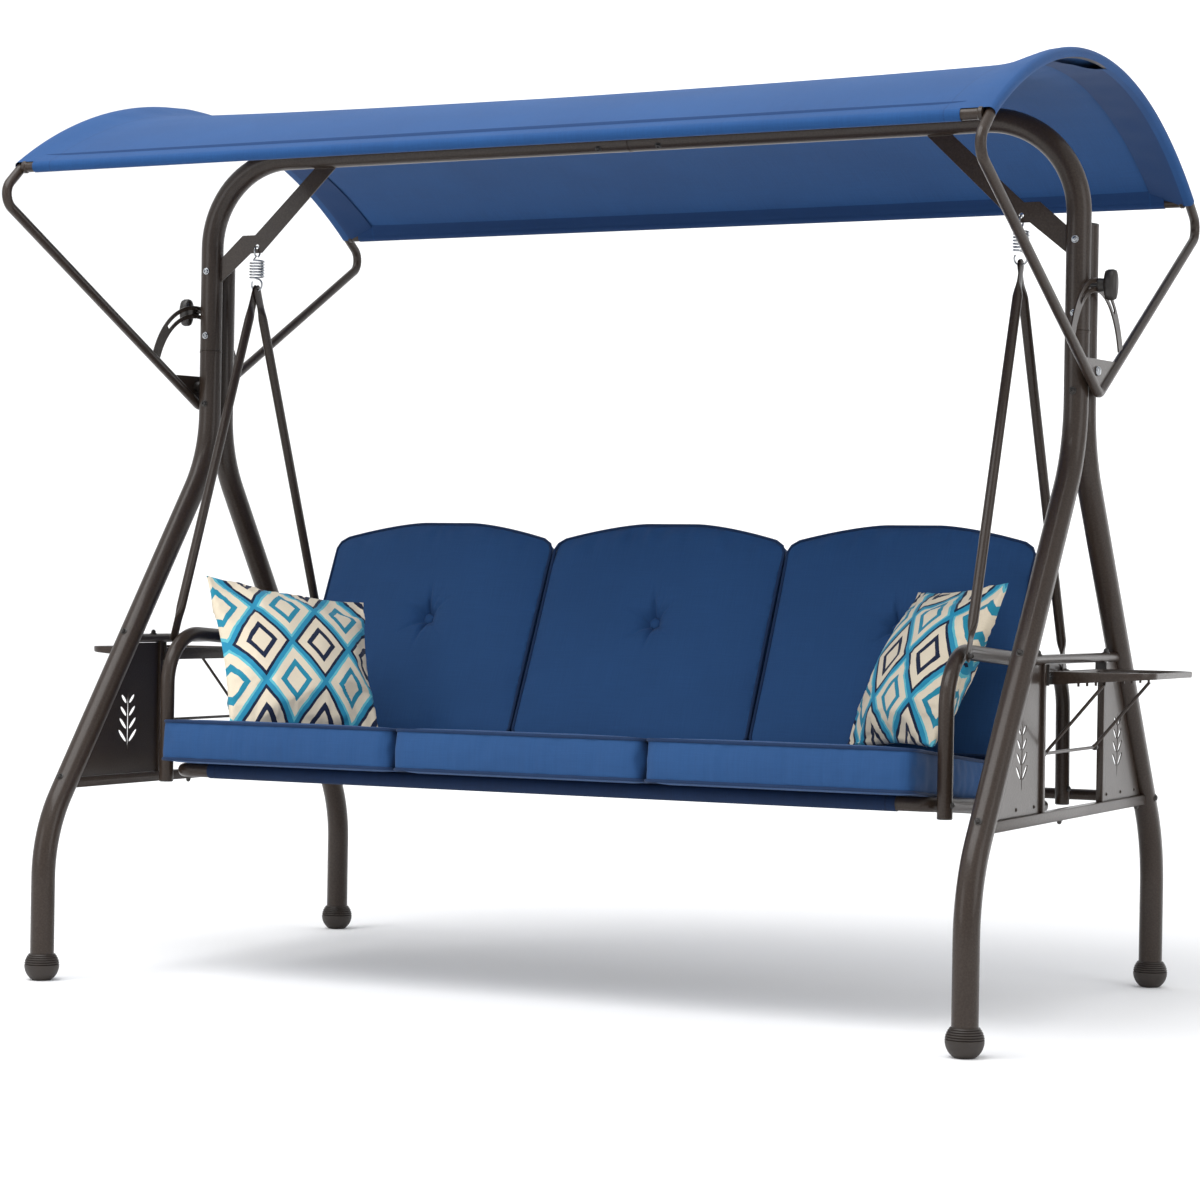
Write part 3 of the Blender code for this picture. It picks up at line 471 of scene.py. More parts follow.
# ---- Side frames ----------------------------------------------------------------------------
# Between the legs at each end: a round upper rail, a square lower rail, two square bars and two
# sheet-steel panels, welded up and coated with the frame. Each panel is cut with a leaf sprig.
UPPER_RAIL_Z, UPPER_RAIL_R, LOWER_RAIL_Z, LOWER_RAIL_HALF = 0.6605, 0.009, 0.378, 0.010
BAR_HALF, FRONT_BAR_Y, REAR_BAR_Y, PANEL_T = 0.0065, -0.172, 0.190, 0.002


def square_bar(name, low, high, edge, finish=bronze_coat):
    """A square steel bar between two corners, with rounded edges."""
    low, high = Vector(low), Vector(high)
    bpy.ops.object.select_all(action="DESELECT")
    bpy.ops.mesh.primitive_cube_add(size=1.0, location=(low + high) / 2)
    made = bpy.context.object
    made.name = name
    made.scale = high - low
    bpy.ops.object.transform_apply(location=False, rotation=False, scale=True)
    bpy.ops.object.mode_set(mode="EDIT")
    bpy.ops.mesh.select_all(action="SELECT")
    bpy.ops.mesh.bevel(offset=edge, segments=3, affect="EDGES")
    bpy.ops.object.mode_set(mode="OBJECT")
    made.data.materials.append(finish)
    return made


def leaf_sprig(middle_y, middle_z):
    """Outlines of a cut-out sprig: a stem with four pairs of leaflets."""
    slots = [(0.0, -0.060, 0.120, 90.0, 2.2)]
    for k in range(4):
        for lean in (-1, 1):
            slots.append((lean * 0.0045, -0.040 + 0.026 * k, 0.036 - 0.004 * k, 90.0 - lean * 48.0, 4.0))
    outlines = []
    for u, v, length, heading, width in slots:
        along = unit(math.radians(heading))
        beside = Vector((-along.y, along.x)) * width * 0.001
        root = Vector((middle_y + u, middle_z + v))
        turns = [math.tau * k / 16 for k in range(16)]
        outlines.append([root + along * length * (0.5 - 0.5 * math.cos(t)) + beside * math.sin(t) for t in turns])
    return outlines


leg_slant = math.atan(-FRONT_FOOT_Y / (UPPER_BEND_Z - LOWER_BEND_Z))
leg_reach = TUBE_R / math.cos(leg_slant)


def rail_ends(z):
    """Y of a rail's two ends at a height, each sunk 4 mm into its leg."""
    front = leg_y(z, FRONT_FOOT_Y, 0.0) + leg_reach - 0.004
    return front, leg_y(z, REAR_FOOT_Y, REAR_TOP_Y) - leg_reach + 0.004


for side, sign in SIDES:
    x = sign * POST_X
    front, rear = rail_ends(UPPER_RAIL_Z)
    rail = tube(f"side_rail_{side}", [(x, front, UPPER_RAIL_Z), (x, rear, UPPER_RAIL_Z)], UPPER_RAIL_R, bronze_coat)
    steel(rail, "stand", f"upper_rail_{side}")
    front, rear = rail_ends(LOWER_RAIL_Z)
    low = (x - LOWER_RAIL_HALF, front, LOWER_RAIL_Z - LOWER_RAIL_HALF)
    high = (x + LOWER_RAIL_HALF, rear, LOWER_RAIL_Z + LOWER_RAIL_HALF)
    steel(square_bar(f"side_base_rail_{side}", low, high, 0.0025), "stand", f"lower_rail_{side}")
    low_z, high_z = LOWER_RAIL_Z + LOWER_RAIL_HALF - 0.0005, UPPER_RAIL_Z - UPPER_RAIL_R + 0.002
    for end, bar_y in (("front", FRONT_BAR_Y), ("rear", REAR_BAR_Y)):
        low = (x - BAR_HALF, bar_y - BAR_HALF, low_z)
        high = (x + BAR_HALF, bar_y + BAR_HALF, high_z)
        steel(square_bar(f"upright_{end}_{side}", low, high, 0.0018), "stand", f"{end}_bar_{side}")
        face = -1 if end == "front" else 1
        foot_y, top_y = (FRONT_FOOT_Y, 0.0) if end == "front" else (REAR_FOOT_Y, REAR_TOP_Y)
        bar_face = bar_y + face * BAR_HALF
        panel_low, panel_high = low_z + 0.0008, high_z - 0.0025
        legs_at = [leg_y(z, foot_y, top_y) - face * (leg_reach + 0.0006) for z in (panel_low, panel_high)]
        outline = [(bar_face, panel_low), (legs_at[0], panel_low), (legs_at[1], panel_high), (bar_face, panel_high)]
        sprig = leaf_sprig(bar_face + (legs_at[0] - bar_face) * 0.38, 0.492)
        panel = cut_plate(f"sprig_panel_{end}_{side}", [outline, *sprig], PANEL_T, in_yz(x), bronze_coat, 0.0003)
        steel(panel, "stand", f"{end}_panel_{side}")
        for k in range(3):
            rivet_y = bar_face + (legs_at[0] - bar_face) * (0.12 + 0.36 * k)
            rivet = (x + sign * (PANEL_T / 2), rivet_y, panel_low + 0.012)
            screw(f"panel_rivet_{end}_{k}_{side}", rivet, (sign, 0, 0), 0.0026, bronze_coat, "stand", "frame_paint")
    rail_top, rail_base = UPPER_RAIL_Z + UPPER_RAIL_R - 0.0005, LOWER_RAIL_Z - LOWER_RAIL_HALF + 0.0005
    for label, y in (("front", -0.196), ("rear", 0.214)):
        dome_nut(f"upper_rail_nut_{label}_{side}", (x, y, rail_top), (0, 0, 1), 0.0052)
    for label, y in (("front", -0.06), ("rear", 0.432)):
        dome_nut(f"base_rail_nut_{label}_{side}", (x, y, rail_base), (0, 0, -1), 0.005)
    for level, z in (("upper", UPPER_RAIL_Z), ("lower", LOWER_RAIL_Z)):
        for end, face, foot_y, top_y in (("front", -1, FRONT_FOOT_Y, 0.0), ("rear", 1, REAR_FOOT_Y, REAR_TOP_Y)):
            away = Vector((0, face * math.cos(leg_slant), math.sin(leg_slant)))
            at = Vector((x, leg_y(z, foot_y, top_y), z)) + away * (TUBE_R - 0.0006)
            dome_nut(f"leg_nut_{end}_{level}_{side}", at, away, 0.0052)

# The rear cross bar is a 22 mm round tube between the rear legs, with a flange and a bolt at each end.
CROSS_HALF, CROSS_Z = 0.9195, 0.381
CROSS_Y = leg_y(CROSS_Z, REAR_FOOT_Y, REAR_TOP_Y)
cross_route = [(end * CROSS_HALF, CROSS_Y, CROSS_Z) for end in (-1, 1)]
cross = tube("rear_cross_tube", cross_route, 0.011, bronze_coat)
steel(cross, "stand", "rear_cross_bar")
flange = [(0.0, 0.0), (0.0165, 0.0), (0.0172, 0.0015), (0.0150, 0.0035), (0.0112, 0.0042), (0.0, 0.0042)]
for side, sign in SIDES:
    place = (sign * 0.9184, CROSS_Y, CROSS_Z)
    collar = turned(f"cross_tube_collar_{side}", flange, place, (-sign, 0, 0), bronze_coat)
    steel(collar, "stand")
    at = (sign * (POST_X + TUBE_R - 0.0004), CROSS_Y, CROSS_Z)
    screw(f"cross_tube_screw_{side}", at, (sign, 0, 0), 0.0055)


# ---- Canopy frame ---------------------------------------------------------------------------
# Each side of the canopy is a bent V tube with an arched bow between its tips, a pivot plate near
# the point of the V and a slotted quadrant above it. A front and a rear tube join the two sides.
FAN_X, FAN_R, PIVOT_Z = 0.978, 0.0095, 1.1864
ARCH_Y, ARCH_Z, ARCH_R = -0.004, 0.639, 1.127
QUADRANT_R, SLOT_HALF_DEG = 0.157, 42.5
BOW_FRONT_Y, BOW_REAR_Y = -0.5975, 0.5895
CROSS_TUBES = (("front", -0.6175, 1.5674), ("rear", 0.6085, 1.5681))


def arch_point(y, inset):
    """(Y, Z) on the canopy's arch, the given distance inside the fabric's outer face."""
    return (y, ARCH_Z + math.sqrt((ARCH_R - inset) ** 2 - (y - ARCH_Y) ** 2))


def ring_part(half, start, end, steps):
    """Outline of a curved strip round the pivot, half its width to each side of the quadrant's radius."""
    pivot = (0.0, PIVOT_Z)
    return arc(pivot, QUADRANT_R + half, start, end, steps) + arc(pivot, QUADRANT_R - half, end, start, steps)


for side, sign in SIDES:
    x = sign * FAN_X
    span = BOW_REAR_Y - BOW_FRONT_Y
    bow_route = [Vector((x, *arch_point(BOW_FRONT_Y + span * k / 48, 0.0135))) for k in range(49)]
    steel(tube(f"canopy_bow_tube_{side}", bow_route, FAN_R, bronze_coat), "canopy", f"canopy_bow_{side}")
    front_bend, rear_bend = Vector((x, -0.6807, 1.5065)), Vector((x, 0.6843, 1.5173))
    front_tip = bow_route[0] + (front_bend - bow_route[0]).normalized() * 0.0008
    rear_tip = bow_route[-1] + (rear_bend - bow_route[-1]).normalized() * 0.0008
    corners = [front_tip, front_bend, (x, 0.018, 1.1455), rear_bend, rear_tip]
    v_tube = tube(f"canopy_v_tube_{side}", bent_route(corners, [0, 0.030, 0.022, 0.030, 0]), FAN_R, bronze_coat)
    steel(v_tube, "canopy", f"canopy_fan_{side}")
    corners = [(-0.094, 1.2065, 0), (0.128, 1.2120, 0), (0.026, 1.1480, 0), (0.010, 1.1480, 0)]
    lobes = bent_route(corners, 0.003, True)
    bore = arc((0.0, PIVOT_Z), 0.0046, 0, 360, 20)[:-1]
    plate = cut_plate(f"pivot_web_plate_{side}", [lobes, bore], 0.003, in_yz(x), bronze_coat)
    steel(plate, "canopy")
    strip = ring_part(0.013, 18, 162, 48)
    slot = ring_part(0.0045, 90 - SLOT_HALF_DEG, 90 + SLOT_HALF_DEG, 36)
    quadrant = cut_plate(f"tilt_quadrant_{side}", [strip, slot], 0.003, in_yz(x), bronze_coat)
    steel(quadrant, "canopy")
    for end, y, z in CROSS_TUBES:
        ring = [(0.0, 0.0), (0.0118, 0.0), (0.0118, 0.006), (0.0100, 0.0085), (0.0, 0.0085)]
        collar = turned(f"canopy_{end}_tube_collar_{side}", ring, (sign * 0.9678, y, z), (-sign, 0, 0), bronze_coat)
        steel(collar, "canopy")
for end, y, z in CROSS_TUBES:
    bar = tube(f"canopy_cross_tube_{end}", [(-0.9682, y, z), (0.9682, y, z)], 0.010, bronze_coat)
    steel(bar, "canopy", f"canopy_{end}_tube")


# ---- Pivot bolts and clamp knobs ------------------------------------------------------------
# A shoulder bolt carries each canopy side, and a moulded wing knob on a stud clamps its quadrant.
for side, sign in SIDES:
    root, head = POST_X + TUBE_R - 0.001, FAN_X + 0.0018
    profile = [(0.0, root), (0.0042, root), (0.0042, head), (0.0088, head), (0.0092, head + 0.001)]
    profile += [(0.0082, head + 0.0042), (0.0058, head + 0.0064), (0.0030, head + 0.0070), (0.0, head + 0.0071)]
    bolt = turned(f"canopy_pivot_bolt_{side}", profile, (0, 0, PIVOT_Z), (sign, 0, 0), zinc_plate)
    settle(bolt, "stand", "zinc", f"pivot_bolt_{side}")
    bush = [(0.0045, root), (0.0115, root), (0.0115, 0.9755), (0.0045, 0.9755), (0.0045, root)]
    spacer = turned(f"canopy_pivot_bush_{side}", bush, (0, 0, PIVOT_Z), (sign, 0, 0), moulded_black)
    settle(spacer, "stand", "black_plastic")
    z = PIVOT_Z + QUADRANT_R
    stud = [(0.0, root), (0.0034, root), (0.0034, head), (0.0120, head), (0.0132, head + 0.002)]
    stud += [(0.0118, head + 0.012), (0.0098, head + 0.0135), (0.0, head + 0.0135)]
    hub = turned(f"tilt_knob_hub_{side}", stud, (0, 0, z), (sign, 0, 0), moulded_black)
    settle(hub, f"knob_{side}", "black_plastic", f"tilt_knob_{side}")
    turns = [math.tau * k / 40 for k in range(40)]
    wing_outline = [(0.0150 * math.cos(a) * (1 + 0.10 * math.sin(a)), 0.0285 * math.sin(a)) for a in turns]
    placed = Matrix.Translation((0.0, 0.0, z)) @ in_yz(sign * (head + 0.0235))
    wing = cut_plate(f"tilt_knob_wing_{side}", [wing_outline], 0.024, placed, moulded_black, 0.0075)
    settle(wing, f"knob_{side}", "black_plastic", smooth=50)


# ---- Springs --------------------------------------------------------------------------------
# Extension springs of 3.6 mm bright wire. The top hook hangs in the corner plate and the bottom
# hook carries both arms. The coil is built at rest and belongs to no body.
COIL_R, WIRE_R, PIN_Z = 0.0142, 0.0018, 1.3846
for side, sign in SIDES:
    x = sign * HANG_X
    route = []
    for k in range(25):
        turn = math.radians(250 - 320 * k / 24)
        route.append(Vector((x, -0.0105 * math.cos(turn), HANG_Z - 0.0105 + 0.0105 * math.sin(turn))))
    for k in range(6 * 28 + 1):
        turn = math.radians(-90) + math.tau * k / 28
        route.append(Vector((x + COIL_R * math.cos(turn), COIL_R * math.sin(turn), 1.447 - 0.036 * k / 168)))
    route.append(Vector((x + 0.008, -0.008, 1.4085)))
    for k in range(25):
        turn = math.radians(75 - 290 * k / 24)
        route.append(Vector((x + 0.0125 * math.cos(turn), 0.0, PIN_Z + 0.0125 + 0.0125 * math.sin(turn))))
    spring = tube(f"hanger_spring_{side}", route, WIRE_R, zinc_plate, resolution=3)
    settle(spring, None, "zinc", f"spring_{side}")
    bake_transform(spring)


# ---- Hanging arms ---------------------------------------------------------------------------
# Four 19 mm tubes, each pressed flat at both ends and drilled. The top ends overlap on the spring
# hook and the bottom ends are bolted to the outside of the arm rests.
def pressed_arm(name, top, low, finish):
    """A round tube whose ends are pressed to flat tabs, from top to low."""
    top, low = Vector(top), Vector(low)
    along = (low - top).normalized()
    beside = along.cross(Vector((1.0, 0.0, 0.0))).normalized()
    outward = beside.cross(along).normalized()
    length = (low - top).length
    ends = [
        (-0.0110, 0.0004, 0.0030), (-0.0104, 0.0014, 0.0062), (-0.0085, 0.0018, 0.0092), (-0.0050, 0.00185, 0.0118),
        (0.0, 0.00185, 0.0130), (0.032, 0.00185, 0.0130), (0.038, 0.0026, 0.0128), (0.046, 0.0052, 0.0119),
        (0.054, 0.0078, 0.0106), (0.064, 0.0095, 0.0095),
    ]
    stations = ends + [(length - s, a, b) for s, a, b in reversed(ends)]
    shape = bmesh.new()
    rings = []
    for distance, thick, wide in stations:
        turns = [math.tau * k / 24 for k in range(24)]
        rings.append([
            shape.verts.new(top + along * distance + outward * thick * math.cos(t) + beside * wide * math.sin(t))
            for t in turns
        ])
    for first, second in zip(rings, rings[1:]):
        for k in range(24):
            shape.faces.new((first[k], first[(k + 1) % 24], second[(k + 1) % 24], second[k]))
    shape.faces.new(rings[0])
    shape.faces.new(rings[-1])
    return from_shape(name, shape, finish)


for side, sign in SIDES:
    for end, top_x, foot_x, y, z in (
        ("front", HANG_X + 0.0020, 0.8375, -0.275, 0.6655), ("rear", HANG_X - 0.0021, 0.8335, 0.300, 0.6294),
    ):
        foot = (sign * foot_x, y, z)
        arm = pressed_arm(f"hanging_arm_{end}_{side}", (sign * top_x, 0.0, PIN_Z), foot, bronze_coat)
        steel(arm, "bench", f"{end}_arm_{side}")
        outside = (foot[0] + sign * 0.0020, y, z)
        dome_nut(f"arm_bolt_{end}_{side}", outside, (sign, 0, 0), 0.0052, "bench")


# ---- Bench frame ----------------------------------------------------------------------------
# Two arm rests of 28 mm tube stand at the ends. A seat ring of 27 mm tube and a back ring of
# 25 mm tube are bolted between them, all coated with the frame.
ARMREST_X, ARMREST_R, SEAT_R, BACK_R = 0.8165, 0.014, 0.0135, 0.0125
SEAT_FRONT, SEAT_REAR = (-0.3265, 0.4036), (0.3365, 0.3651)
BACK_LOW, BACK_TOP = (0.1252, 0.3709), (0.3276, 0.7906)
for side, sign in SIDES:
    x = sign * ARMREST_X
    corners = [(x, -0.3265, 0.381), (x, -0.3265, 0.6775), (x, 0.3435, 0.6395), (x, 0.3505, 0.371)]
    rest = tube(f"armrest_tube_{side}", bent_route(corners, [0, 0.10, 0.09, 0], step_deg=5), ARMREST_R, bronze_coat)
    steel(rest, "bench", f"armrest_{side}")
    for end, y, z in (("front", -0.3265, 0.3815), ("rear", 0.3505, 0.3715)):
        plug = [(0.0, 0.0), (0.0138, 0.0), (0.0142, 0.001), (0.0125, 0.003), (0.0, 0.0036)]
        cap = turned(f"armrest_plug_{end}_{side}", plug, (x, y, z), (0, 0, -1), moulded_black)
        settle(cap, "bench", "black_plastic")
    for end, y, z in (("front", -0.3265, 0.4036), ("rear", 0.3475, 0.400)):
        at = (sign * (ARMREST_X + ARMREST_R - 0.0004), y, z)
        screw(f"armrest_screw_{end}_{side}", at, (sign, 0, 0), 0.005, body="bench")
seat_x = ARMREST_X - ARMREST_R - 0.0003 - SEAT_R
back_x = seat_x - SEAT_R - 0.0003 - BACK_R
for name, node_name, half, radius, low, high in (
    ("seat_ring", "seat_frame", seat_x, SEAT_R, SEAT_FRONT, SEAT_REAR),
    ("back_ring", "back_frame", back_x, BACK_R, BACK_LOW, BACK_TOP),
):
    corners = [(-half, *low), (half, *low), (half, *high), (-half, *high)]
    ring = tube(name, bent_route(corners, 0.035, closed=True), radius, bronze_coat, closed=True)
    steel(ring, "bench", node_name)


# ---- Trays and braces -----------------------------------------------------------------------
# Each tray is a shallow pressed pan with a rolled rim and a perforated floor, hinged in two dark
# brackets below the upper rail. A wire brace hooks into a row of notches under it.
TRAY_FRONT_Y, TRAY_REAR_Y, TRAY_INNER_X, TRAY_OUTER_X, TRAY_TOP_Z = -0.158, 0.150, 0.945, 1.135, 0.639
HOLE_HALF, CORNERS, BRACE_PIVOT_Z = 0.0085, ((-1, -1), (1, -1), (1, 1), (-1, 1)), 0.4925


def tray_outline(inset, inner_bend, outer_bend):
    """The tray's rounded plan, drawn in by an inset."""
    low_y, high_y = TRAY_FRONT_Y + inset, TRAY_REAR_Y - inset
    near, far = TRAY_INNER_X + inset, TRAY_OUTER_X - inset
    corners = [(near, low_y, 0), (far, low_y, 0), (far, high_y, 0), (near, high_y, 0)]
    return bent_route(corners, [inner_bend, outer_bend, outer_bend, inner_bend], True)


def tray_height(x):
    """Depth of the tray's skirt below its top, deeper at the hinge than outside."""
    share = (abs(x) - TRAY_INNER_X) / (TRAY_OUTER_X - TRAY_INNER_X)
    return 0.0235 - 0.0135 * share


for side, sign in SIDES:
    body = f"tray_{side}"
    rim = [Vector((sign * p.x, p.y, 0)) for p in tray_outline(0.0, 0.018, 0.045)]
    middle = Vector((sign * (TRAY_INNER_X + TRAY_OUTER_X) / 2, (TRAY_FRONT_Y + TRAY_REAR_Y) / 2, 0))
    shape = bmesh.new()
    loops = []
    for inward, share in (
        (0.0008, 1.0), (0.0, 0.6), (0.0, 0.12), (0.0008, 0.0),
        (0.0030, 0.0), (0.0048, 0.05), (0.0056, 0.22), (0.0060, 0.26),
    ):
        loop = []
        for k, point in enumerate(rim):
            before, after = rim[k - 1], rim[(k + 1) % len(rim)]
            normal = Vector((-(after - before).y, (after - before).x, 0)).normalized()
            if normal.dot(middle - point) < 0:
                normal = -normal
            spot = point + normal * inward
            loop.append(shape.verts.new((spot.x, spot.y, TRAY_TOP_Z - tray_height(spot.x) * share)))
        loops.append(loop)
    for first, second in zip(loops, loops[1:]):
        for k in range(len(first)):
            shape.faces.new((first[k], first[(k + 1) % len(first)], second[(k + 1) % len(first)], second[k]))
    rim_piece = from_shape(f"tray_rim_{side}", shape, bronze_coat)
    wall = rim_piece.modifiers.new("sheet thickness", "SOLIDIFY")
    wall.thickness = 0.0012
    wall.offset = 0
    settle(rim_piece, None, "frame_paint")
    bpy.ops.object.modifier_apply(modifier=wall.name)
    steel(rim_piece, body, body)
    inner = [(sign * p.x, p.y) for p in tray_outline(0.005, 0.014, 0.040)]
    holes = []
    for column in range(7):
        for row in range(11):
            u = TRAY_INNER_X + 0.026 + 0.0225 * column
            v = TRAY_FRONT_Y + 0.030 + 0.0248 * row
            if u > TRAY_OUTER_X - 0.045 and (v < TRAY_FRONT_Y + 0.045 or v > TRAY_REAR_Y - 0.045):
                continue
            holes.append([(sign * (u + du * HOLE_HALF), v + dv * HOLE_HALF) for du, dv in CORNERS])
    floor_place = Matrix.Translation((0, 0, TRAY_TOP_Z - 0.0055))
    pan = cut_plate(f"tray_grid_{side}", [inner, *holes], 0.0016, floor_place, bronze_coat, 0.0004)
    steel(pan, body)
    for k in range(4):
        for end, y in (("front", -0.150), ("rear", 0.142)):
            notch_x = 0.999 + 0.016 * k
            top = TRAY_TOP_Z - tray_height(notch_x) + 0.002
            inset = 0.006 if end == "front" else -0.006
            low = (sign * notch_x - 0.0022, y - 0.0012 + inset, top - 0.008)
            high = (sign * notch_x + 0.0022, y + 0.0012 + inset, top)
            steel(square_bar(f"tray_notch_{end}_{k}_{side}", low, high, 0.0006), body)
    for end, y in (("front", FRONT_BAR_Y), ("rear", REAR_BAR_Y)):
        inward = 1 if end == "front" else -1
        low = (sign * POST_X - 0.011, min(y + inward * 0.0062, y + inward * 0.0085), 0.614)
        high = (sign * POST_X + 0.011, max(y + inward * 0.0062, y + inward * 0.0085), 0.652)
        bracket = square_bar(f"tray_hinge_bracket_{end}_{side}", low, high, 0.0008, moulded_black)
        settle(bracket, "stand", "black_plastic")
        pin_start = (sign * 0.951, y + inward * 0.0085, 0.633)
        pin_end = (sign * 0.951, (TRAY_FRONT_Y - 0.0006) if end == "front" else (TRAY_REAR_Y + 0.0006), 0.633)
        pin = tube(f"tray_hinge_pin_{end}_{side}", [pin_start, pin_end], 0.0032, zinc_plate)
        settle(pin, "stand", "zinc")
    pivot_x, tip_x = sign * POST_X, sign * 1.047
    corners = [(tip_x, -0.150, 0.6175), (pivot_x, -0.150, BRACE_PIVOT_Z)]
    corners += [(pivot_x, 0.142, BRACE_PIVOT_Z), (tip_x, 0.142, 0.6175)]
    wire = tube(f"tray_wire_brace_{side}", bent_route(corners, 0.010), 0.003, bronze_coat)
    steel(wire, f"brace_{side}", f"tray_brace_{side}")
    barrel = [(0.0, -0.004), (0.0055, -0.004), (0.006, -0.002), (0.006, 0.002), (0.0055, 0.004), (0.0, 0.004)]
    for end, y in (("front", -0.1600), ("rear", 0.152)):
        eye = turned(f"brace_eye_{end}_{side}", barrel, (pivot_x, y, BRACE_PIVOT_Z), (0, 1, 0), moulded_black, 18)
        settle(eye, "stand", "black_plastic")


# ---- Canopy cloth ---------------------------------------------------------------------------
# One sheet of woven polyester. It is sewn into a sleeve round each bow and into a hem round the
# front and the rear tube, and it sags a little between the bows.
CLOTH_R, SLEEVE_X, HEM_X = ARCH_R - 0.0029, 0.902, 0.930


def woven(name, thread, shadow, pitch, stitch_rows=(), sheen=0.12, slub=0.5, painted_shade_bands=()):
    """A plain weave from UV in metres, with slubs, rows of stitching at given U or V values, and bands of painted
    shade.
    """
    made, tree = start_material(name)
    cloth_uv = node(tree, "UVMap", {}, uv_map="flat")
    split = node(tree, "SeparateXYZ", {0: cloth_uv})
    across = node(tree, "TexWave", {"Vector": cloth_uv, "Scale": 0.314 / pitch}, bands_direction="X")
    along = node(tree, "TexWave", {"Vector": cloth_uv, "Scale": 0.314 / pitch}, bands_direction="Y")
    over = node(tree, "Math", {0: across, 1: along}, operation="MULTIPLY")
    drawn_out = node(tree, "Mapping", {"Vector": cloth_uv, "Scale": (14.0, 520.0, 1.0)})
    slubs = node(tree, "TexNoise", {"Vector": drawn_out, "Scale": 1.0, "Detail": 3.0})
    drawn_up = node(tree, "Mapping", {"Vector": cloth_uv, "Scale": (480.0, 11.0, 1.0)})
    ribs = node(tree, "TexNoise", {"Vector": drawn_up, "Scale": 1.0, "Detail": 3.0})
    patchy = node(tree, "TexNoise", {"Vector": cloth_uv, "Scale": 5.0, "Detail": 2.0})
    threads = node(tree, "Math", {0: slubs, 1: ribs}, operation="ADD")
    spread = node(tree, "Math", {0: threads, 1: patchy}, operation="ADD")
    share = node(tree, "MapRange", {"Value": spread, "From Min": 1.5 - slub, "From Max": 1.5 + slub})
    tone = node(tree, "Mix", {0: share, 6: srgb(shadow), 7: srgb(thread)}, data_type="RGBA")
    height = over
    colour = tone
    # Painted shade: where the cloth is doubled in a sleeve or a hem, its band is darkened towards deep navy to
    # stand in for the shade inside it.
    for axis, low, high in painted_shade_bands:
        offset = node(tree, "Math", {0: split.outputs[axis], 1: (low + high) / 2}, operation="SUBTRACT")
        near = node(tree, "Math", {0: offset, 1: 0.0}, operation="ABSOLUTE")
        inside = node(tree, "Math", {0: near, 1: (high - low) / 2}, operation="LESS_THAN")
        part = node(tree, "Math", {0: inside, 1: 0.72}, operation="MULTIPLY")
        mixed = node(tree, "Mix", {0: part, 6: colour, 7: srgb("#0d2c55")}, data_type="RGBA")
        colour = mixed
    for axis, value in stitch_rows:
        offset = node(tree, "Math", {0: split.outputs[axis], 1: value}, operation="SUBTRACT")
        near = node(tree, "Math", {0: offset, 1: 0.0}, operation="ABSOLUTE")
        limits = {"From Min": 0.0009, "From Max": 0.0018, "To Min": 1.0, "To Max": 0.0}
        row = node(tree, "MapRange", {"Value": near, **limits})
        other = split.outputs["Y" if axis == "X" else "X"]
        dashes = node(tree, "Math", {0: other, 1: 0.0035}, operation="PINGPONG")
        dash = node(tree, "Math", {0: dashes, 1: 0.0006}, operation="GREATER_THAN")
        sewn = node(tree, "Math", {0: row, 1: dash}, operation="MULTIPLY")
        mixed = node(tree, "Mix", {0: sewn, 6: colour, 7: srgb(shadow)}, data_type="RGBA")
        colour = mixed
        pulled = node(tree, "Math", {0: row, 1: -3.0, 2: height}, operation="MULTIPLY_ADD")
        height = pulled
    relief = node(tree, "Bump", {"Height": height, "Strength": 0.35, "Distance": 0.0002})
    shader = node(tree, "BsdfPrincipled", {
        "Base Color": colour, "Roughness": 0.82, "Sheen Weight": sheen, "Sheen Roughness": 0.45,
        "Specular IOR Level": 0.3, "Normal": relief,
    })
    node(tree, "OutputMaterial", {"Surface": shader})
    return made


def sheet_mesh(name, rows, flat, finish, gaps=()):
    """A cloth grid from rows of points, with UV in metres from flat rows of (u, v)."""
    shape = bmesh.new()
    layer = shape.loops.layers.uv.new("flat")
    made_rows = [[shape.verts.new(p) for p in row] for row in rows]
    for i in range(len(rows) - 1):
        for j in range(len(rows[0]) - 1):
            if (i, j) in gaps:
                continue
            corners = ((i, j), (i, j + 1), (i + 1, j + 1), (i + 1, j))
            face = shape.faces.new([made_rows[a][b] for a, b in corners])
            for loop, (a, b) in zip(face.loops, corners):
                loop[layer].uv = flat[a][b]
    bmesh.ops.delete(shape, geom=[v for v in shape.verts if not v.link_faces], context="VERTS")
    return from_shape(name, shape, finish)


def sag(x, share):
    """How far the cloth hangs below the bows' arch at X, at a share of the way from rear to front."""
    inward = max(0.0, FAN_X - abs(x))
    fold = 0.5 + 0.5 * noise.noise(Vector((x * 2.2, share * 3.0, 4.0)))
    near_bow = (0.023 + 0.002 * fold) * (1 - math.exp(-((inward / 0.056) ** 2.0)))
    return (near_bow + 0.013 * (1 - (x / FAN_X) ** 2)) * math.sin(math.pi * share) ** 0.75


front_tube, rear_tube = (Vector((y, z)) for end, y, z in CROSS_TUBES)
arch_centre = Vector((ARCH_Y, ARCH_Z))
rear_heading = math.atan2(*(rear_tube - arch_centre).yx)
front_heading = math.atan2(*(front_tube - arch_centre).yx)
profile = []                       # (Y, Z, share of the arch, or None in a hem)
hem_turn = 0.034 / CLOTH_R
for k in range(5):
    heading = rear_heading + hem_turn * (1 - k / 6)
    under = CLOTH_R - 0.0016 - 0.0155 * (k / 4) ** 1.4
    profile.append((*(arch_centre + unit(heading) * under), None))
for k in range(13):
    turn = rear_heading + math.radians(212 - 212 * k / 12) - math.tau
    profile.append((*(rear_tube + unit(turn) * 0.0112), None if k < 12 else 0.0))
for k in range(1, 96):
    heading = rear_heading + (front_heading - rear_heading) * k / 96
    profile.append((*(arch_centre + unit(heading) * CLOTH_R), k / 96))
for k in range(13):
    turn = front_heading + math.radians(212 * k / 12)
    profile.append((*(front_tube + unit(turn) * 0.0112), None if k else 1.0))
